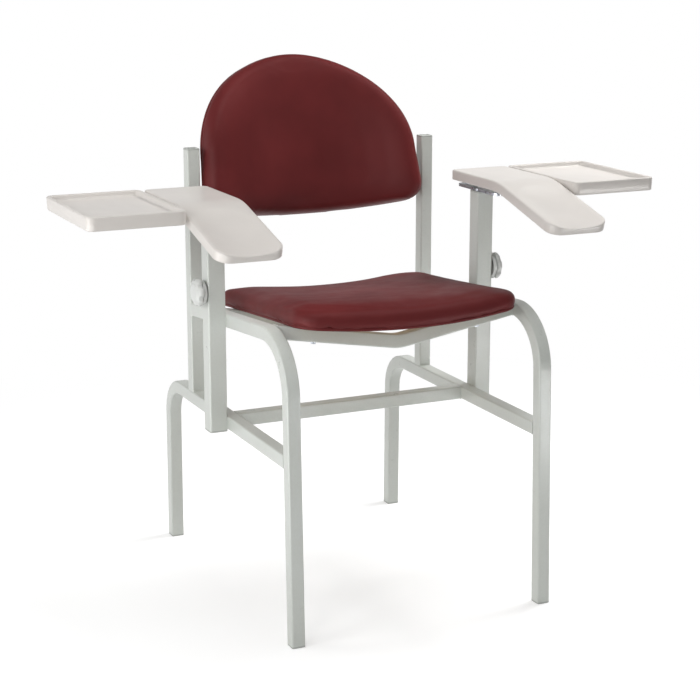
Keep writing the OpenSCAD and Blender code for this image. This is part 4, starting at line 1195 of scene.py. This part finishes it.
def knob_form(p):
    """Verts and faces of one knob round the Z axis, from the post's face outwards."""
    outline, radius = grip_outline(p), p.diameter / 2
    base, face = KNOB_GAP + p.skirt_length, KNOB_GAP + p.grip_length

    def ring(inset, z, share=1.0, cut=1.0):
        """The grip's outline, drawn in and scaled, with its notches cut by a share of their depth."""
        reach = [(radius - (radius - r) * cut - inset) * share for r in outline]
        return [Vector((r * v.x, r * v.y, z)) for r, v in zip(reach, circle(1.0, 0.0, GRIP_POINTS))]

    rings = [circle(radius * share, face + p.dome * (1 - share ** 2) - sink, GRIP_POINTS)
             for share, sink in KNOB_FACE]
    e, low = GRIP_EDGE, GRIP_LOW_EDGE
    for k in range(90, -1, -9):
        cut = 0.10 + 0.90 * sind(90 - k) ** 1.3
        rings.append(ring(e * (1 - cosd(k)), face - 0.0007 - e + e * sind(k), 1.0, cut))
    rings.append(ring(0.0, base + 0.0022))
    for k in range(0, -91, -30):
        rings.append(ring(low * (1 - cosd(k)), base + low + low * sind(k)))
    rings.append(ring(0.0, base, 0.55))
    grip = closed_rings(rings, Vector((0, 0, face + p.dome)), Vector((0, 0, base)))

    outer, inner, top, gap = p.skirt_diameter / 2, p.skirt_diameter / 2 - 0.003, base + 0.0006, KNOB_GAP
    skirt = [(outer - 0.0040, top), (outer - 0.0040, base - 0.0012), (outer - 0.0008, base - 0.0015),
             (outer, base - 0.0022), (outer, gap + 0.0016), (outer - 0.0005, gap + 0.0005),
             (outer - 0.0014, gap), (inner + 0.0008, gap), (inner, gap + 0.0008), (inner, top)]
    hub = [(HUB, top), (HUB, HUB_LOW + 0.0008), (HUB - 0.0008, HUB_LOW), (0.0044, HUB_LOW), (0.0042, top)]
    turned = [banded([circle(r, z, 72) for r, z in profile], True) for profile in (skirt, hub)]
    ribs = []
    for i in range(6):
        a = math.pi * i / 3 + 0.3
        c, s = math.cos(a), math.sin(a)
        near, far, half = HUB - 0.0008, inner + 0.0005, RIB / 2
        section = ((near, -half), (far, -half), (far, half), (near, half))
        pts = [Vector((r * c - w * s, r * s + w * c, z)) for z in (top, gap + 0.0030) for r, w in section]
        sides = [(k, k + 4, (k + 1) % 4 + 4, (k + 1) % 4) for k in range(4)]
        ribs.append((pts, [(0, 1, 2, 3), (7, 6, 5, 4), *sides]))
    return merged([grip, *turned, *ribs])


class CHAIR_OT_knobs(bpy.types.Operator):
    """Makes the two notched clamping knobs"""

    bl_idname = "chair.knobs"
    bl_label = "Clamping knobs"

    def execute(self, context):
        p = context.scene.chair_knob
        verts, faces = knob_form(p)
        for side, label in SIDES:
            low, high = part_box(label + "_clamp_knob")
            face_x = (low.x if side > 0 else high.x) - side * KNOB_GAP
            middle_y = (low.y + high.y) / 2
            placed = [Vector((face_x + side * v.z, middle_y + v.y, p.axis_z - v.x)) for v in verts]
            obj = mesh_piece(label + "_knob_moulding", placed, faces, FINISHES["knob_plastic"])
            soften(obj, 42.0)
            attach(obj, label + "_knob")
            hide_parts(label + "_clamp_knob")
        return {"FINISHED"}


class CHAIR_OT_stage(bpy.types.Operator):
    """Sets the floor, the backdrop, the lights and the camera"""

    bl_idname = "chair.stage"
    bl_label = "Stage"

    def execute(self, context):
        scene = context.scene
        scene.view_settings.view_transform = "Standard"
        scene.render.film_transparent = False
        self.world(scene)
        self.floor()
        for spec in LAMPS:
            self.lamp(*spec)
        data = bpy.data.cameras.new("camera")
        data.lens, data.sensor_width = LENS, SENSOR
        data.clip_start, data.clip_end = 0.05, 60.0
        cam = added("camera", data)
        cam.location = CAMERA_PLACE
        cam.rotation_euler = [math.radians(turn) for turn in CAMERA_TURN]
        scene.camera = cam
        return {"FINISHED"}

    def world(self, scene):
        """White to the camera; a white backdrop in reflections; a plain fill for all other light."""
        world = bpy.data.worlds.new("studio")
        scene.world = world
        world.use_nodes = True
        world.node_tree.nodes.clear()
        n = Nodes(world.node_tree)
        coords = n.add("ShaderNodeTexCoord").outputs["Generated"]
        way = n.add("ShaderNodeSeparateXYZ", {0: coords}).outputs
        path = n.add("ShaderNodeLightPath").outputs
        glossy = path["Is Glossy Ray"]
        backdrop = n.math("MULTIPLY", n.smooth(way["Y"], 0.0, 0.5), n.smooth(way["Z"], 0.26, 0.46, 1.0, 0.0))
        backdrop = n.math("MULTIPLY", backdrop, n.smooth(way["Z"], 0.06, 0.22, 0.35, 1.0))
        mirrored = n.smooth(backdrop, 0.0, 1.0, DIM_SIDE, BACKDROP)
        fill = n.math("MULTIPLY", n.smooth(way["Z"], -0.3, 0.9, FILL_LOW, FILL_HIGH),
                      n.smooth(way["Y"], -0.9, 0.1, FILL_FRONT, 1.0))
        seen = n.math("MAXIMUM", path["Is Camera Ray"], path["Is Transmission Ray"])
        strength = n.weighed(glossy, mirrored, n.math("SUBTRACT", 1.0, glossy), fill)
        strength = n.math("MAXIMUM", strength, seen)
        light = n.add("ShaderNodeBackground", {"Color": (1.0, 1.0, 1.0, 1.0), "Strength": strength})
        n.add("ShaderNodeOutputWorld", {"Surface": light.outputs[0]})

    def floor(self):
        """A plain white floor that keeps the shadow near the chair and runs out into the backdrop; in
        reflections only, its front is dimmed as painted shade and a left band and a right spot glow as
        painted highlights.
        """
        mat = new_material("floor_white")
        n = Nodes(mat.node_tree)
        body = n.add("ShaderNodeBsdfDiffuse", {"Color": (0.80, 0.80, 0.80, 1.0)}).outputs[0]
        lift = n.add("ShaderNodeEmission", {"Strength": FLOOR_LIFT}).outputs[0]
        near = n.add("ShaderNodeAddShader", {0: body, 1: lift}).outputs[0]
        coords = n.add("ShaderNodeTexCoord").outputs["Object"]
        axes = n.add("ShaderNodeSeparateXYZ", {0: coords}).outputs
        # Painted reflections: seen only by glossy rays, the front is dimmed as painted shade, and a left band
        # and a right spot glow with no lamp there, painting highlights on the frame's edges and the right
        # front leg
        left_glint_band = n.math("MULTIPLY", n.smooth(axes["Y"], -2.3, -1.5), n.smooth(axes["Y"], 0.2, 0.8, 1.0, 0.0))
        left = n.math("MULTIPLY", n.smooth(axes["X"], -0.55, -1.0), left_glint_band)
        right_glint_spot = n.add("ShaderNodeVectorMath", {0: coords, 1: (1.15, -1.75, 0.0)}, operation="DISTANCE")
        right = n.smooth(right_glint_spot.outputs["Value"], 0.35, 0.85, 1.0, 0.0)
        painted_reflection = n.math("ADD", n.smooth(axes["Y"], -0.4, 0.6, FLOOR_FRONT_PAINTED_SHADE, 1.0),
                      n.weighed(left, FLOOR_LEFT_PAINTED_GLINT, right, FLOOR_RIGHT_PAINTED_GLINT))
        path = n.add("ShaderNodeLightPath").outputs
        glossy = path["Is Glossy Ray"]
        straight = n.math("MAXIMUM", path["Is Camera Ray"], path["Is Transmission Ray"])
        even_white_and_painted_glint = n.math("MAXIMUM", n.math("MULTIPLY", painted_reflection, glossy), straight)
        white = n.add("ShaderNodeEmission", {"Strength": even_white_and_painted_glint}).outputs[0]
        away = n.add("ShaderNodeVectorMath", {0: coords}, operation="LENGTH").outputs["Value"]
        seen = n.add("ShaderNodeMixShader", {"Fac": n.smooth(away, 0.75, 1.7), 1: near, 2: white})
        hit = n.math("MAXIMUM", straight, glossy)
        mix = n.add("ShaderNodeMixShader", {"Fac": hit, 1: body, 2: seen.outputs[0]})
        n.add("ShaderNodeOutputMaterial", {"Surface": mix.outputs[0]})
        size = 16.0
        corners = [(-size, -size, 0), (size, -size, 0), (size, size, 0), (-size, size, 0)]
        plane = mesh_piece("floor", corners, [(0, 1, 2, 3)], mat, False)

    def lamp(self, name, place, target, size, watts, tone, mirrored=True):
        data = bpy.data.lights.new(name, "AREA")
        data.shape = "RECTANGLE"
        data.size, data.size_y = size
        data.energy = watts
        data.color = tone
        obj = added(name, data)
        obj.location = place
        obj.visible_glossy = mirrored
        obj.rotation_euler = (Vector(target) - Vector(place)).to_track_quat("-Z", "Y").to_euler()


class CHAIR_PT_panel(bpy.types.Panel):
    """Lists the pieces' operators and their sizes"""

    bl_label = "Phlebotomy chair"
    bl_idname = "CHAIR_PT_panel"
    bl_space_type = "VIEW_3D"
    bl_region_type = "UI"
    bl_category = "Chair"

    def draw(self, context):
        layout = self.layout
        for cls in OPERATORS:
            layout.operator(cls.bl_idname)
        for name, group in GROUPS.items():
            box = layout.box()
            box.label(text=group.__doc__)
            settings = getattr(context.scene, name)
            for prop in group.__annotations__:
                box.prop(settings, prop)


OPERATORS = [CHAIR_OT_stage, CHAIR_OT_finishes, CHAIR_OT_seat_cushion, CHAIR_OT_back_cushion, CHAIR_OT_hems,
             CHAIR_OT_arm_rests, CHAIR_OT_trays, CHAIR_OT_knobs, CHAIR_OT_welds, CHAIR_OT_caps]
CLASSES = [*GROUPS.values(), *OPERATORS, CHAIR_PT_panel]


def register():
    for cls in CLASSES:
        bpy.utils.register_class(cls)
    for name, group in GROUPS.items():
        setattr(bpy.types.Scene, name, bpy.props.PointerProperty(type=group))


def unregister():
    for name in GROUPS:
        delattr(bpy.types.Scene, name)
    for cls in reversed(CLASSES):
        bpy.utils.unregister_class(cls)


def main():
    register()
    for cls in OPERATORS:
        group, name = cls.bl_idname.split(".")
        result = getattr(getattr(bpy.ops, group), name)()
        if result != {"FINISHED"}:
            raise RuntimeError(cls.bl_label + " did not finish")


if __name__ == "__main__":
    main()
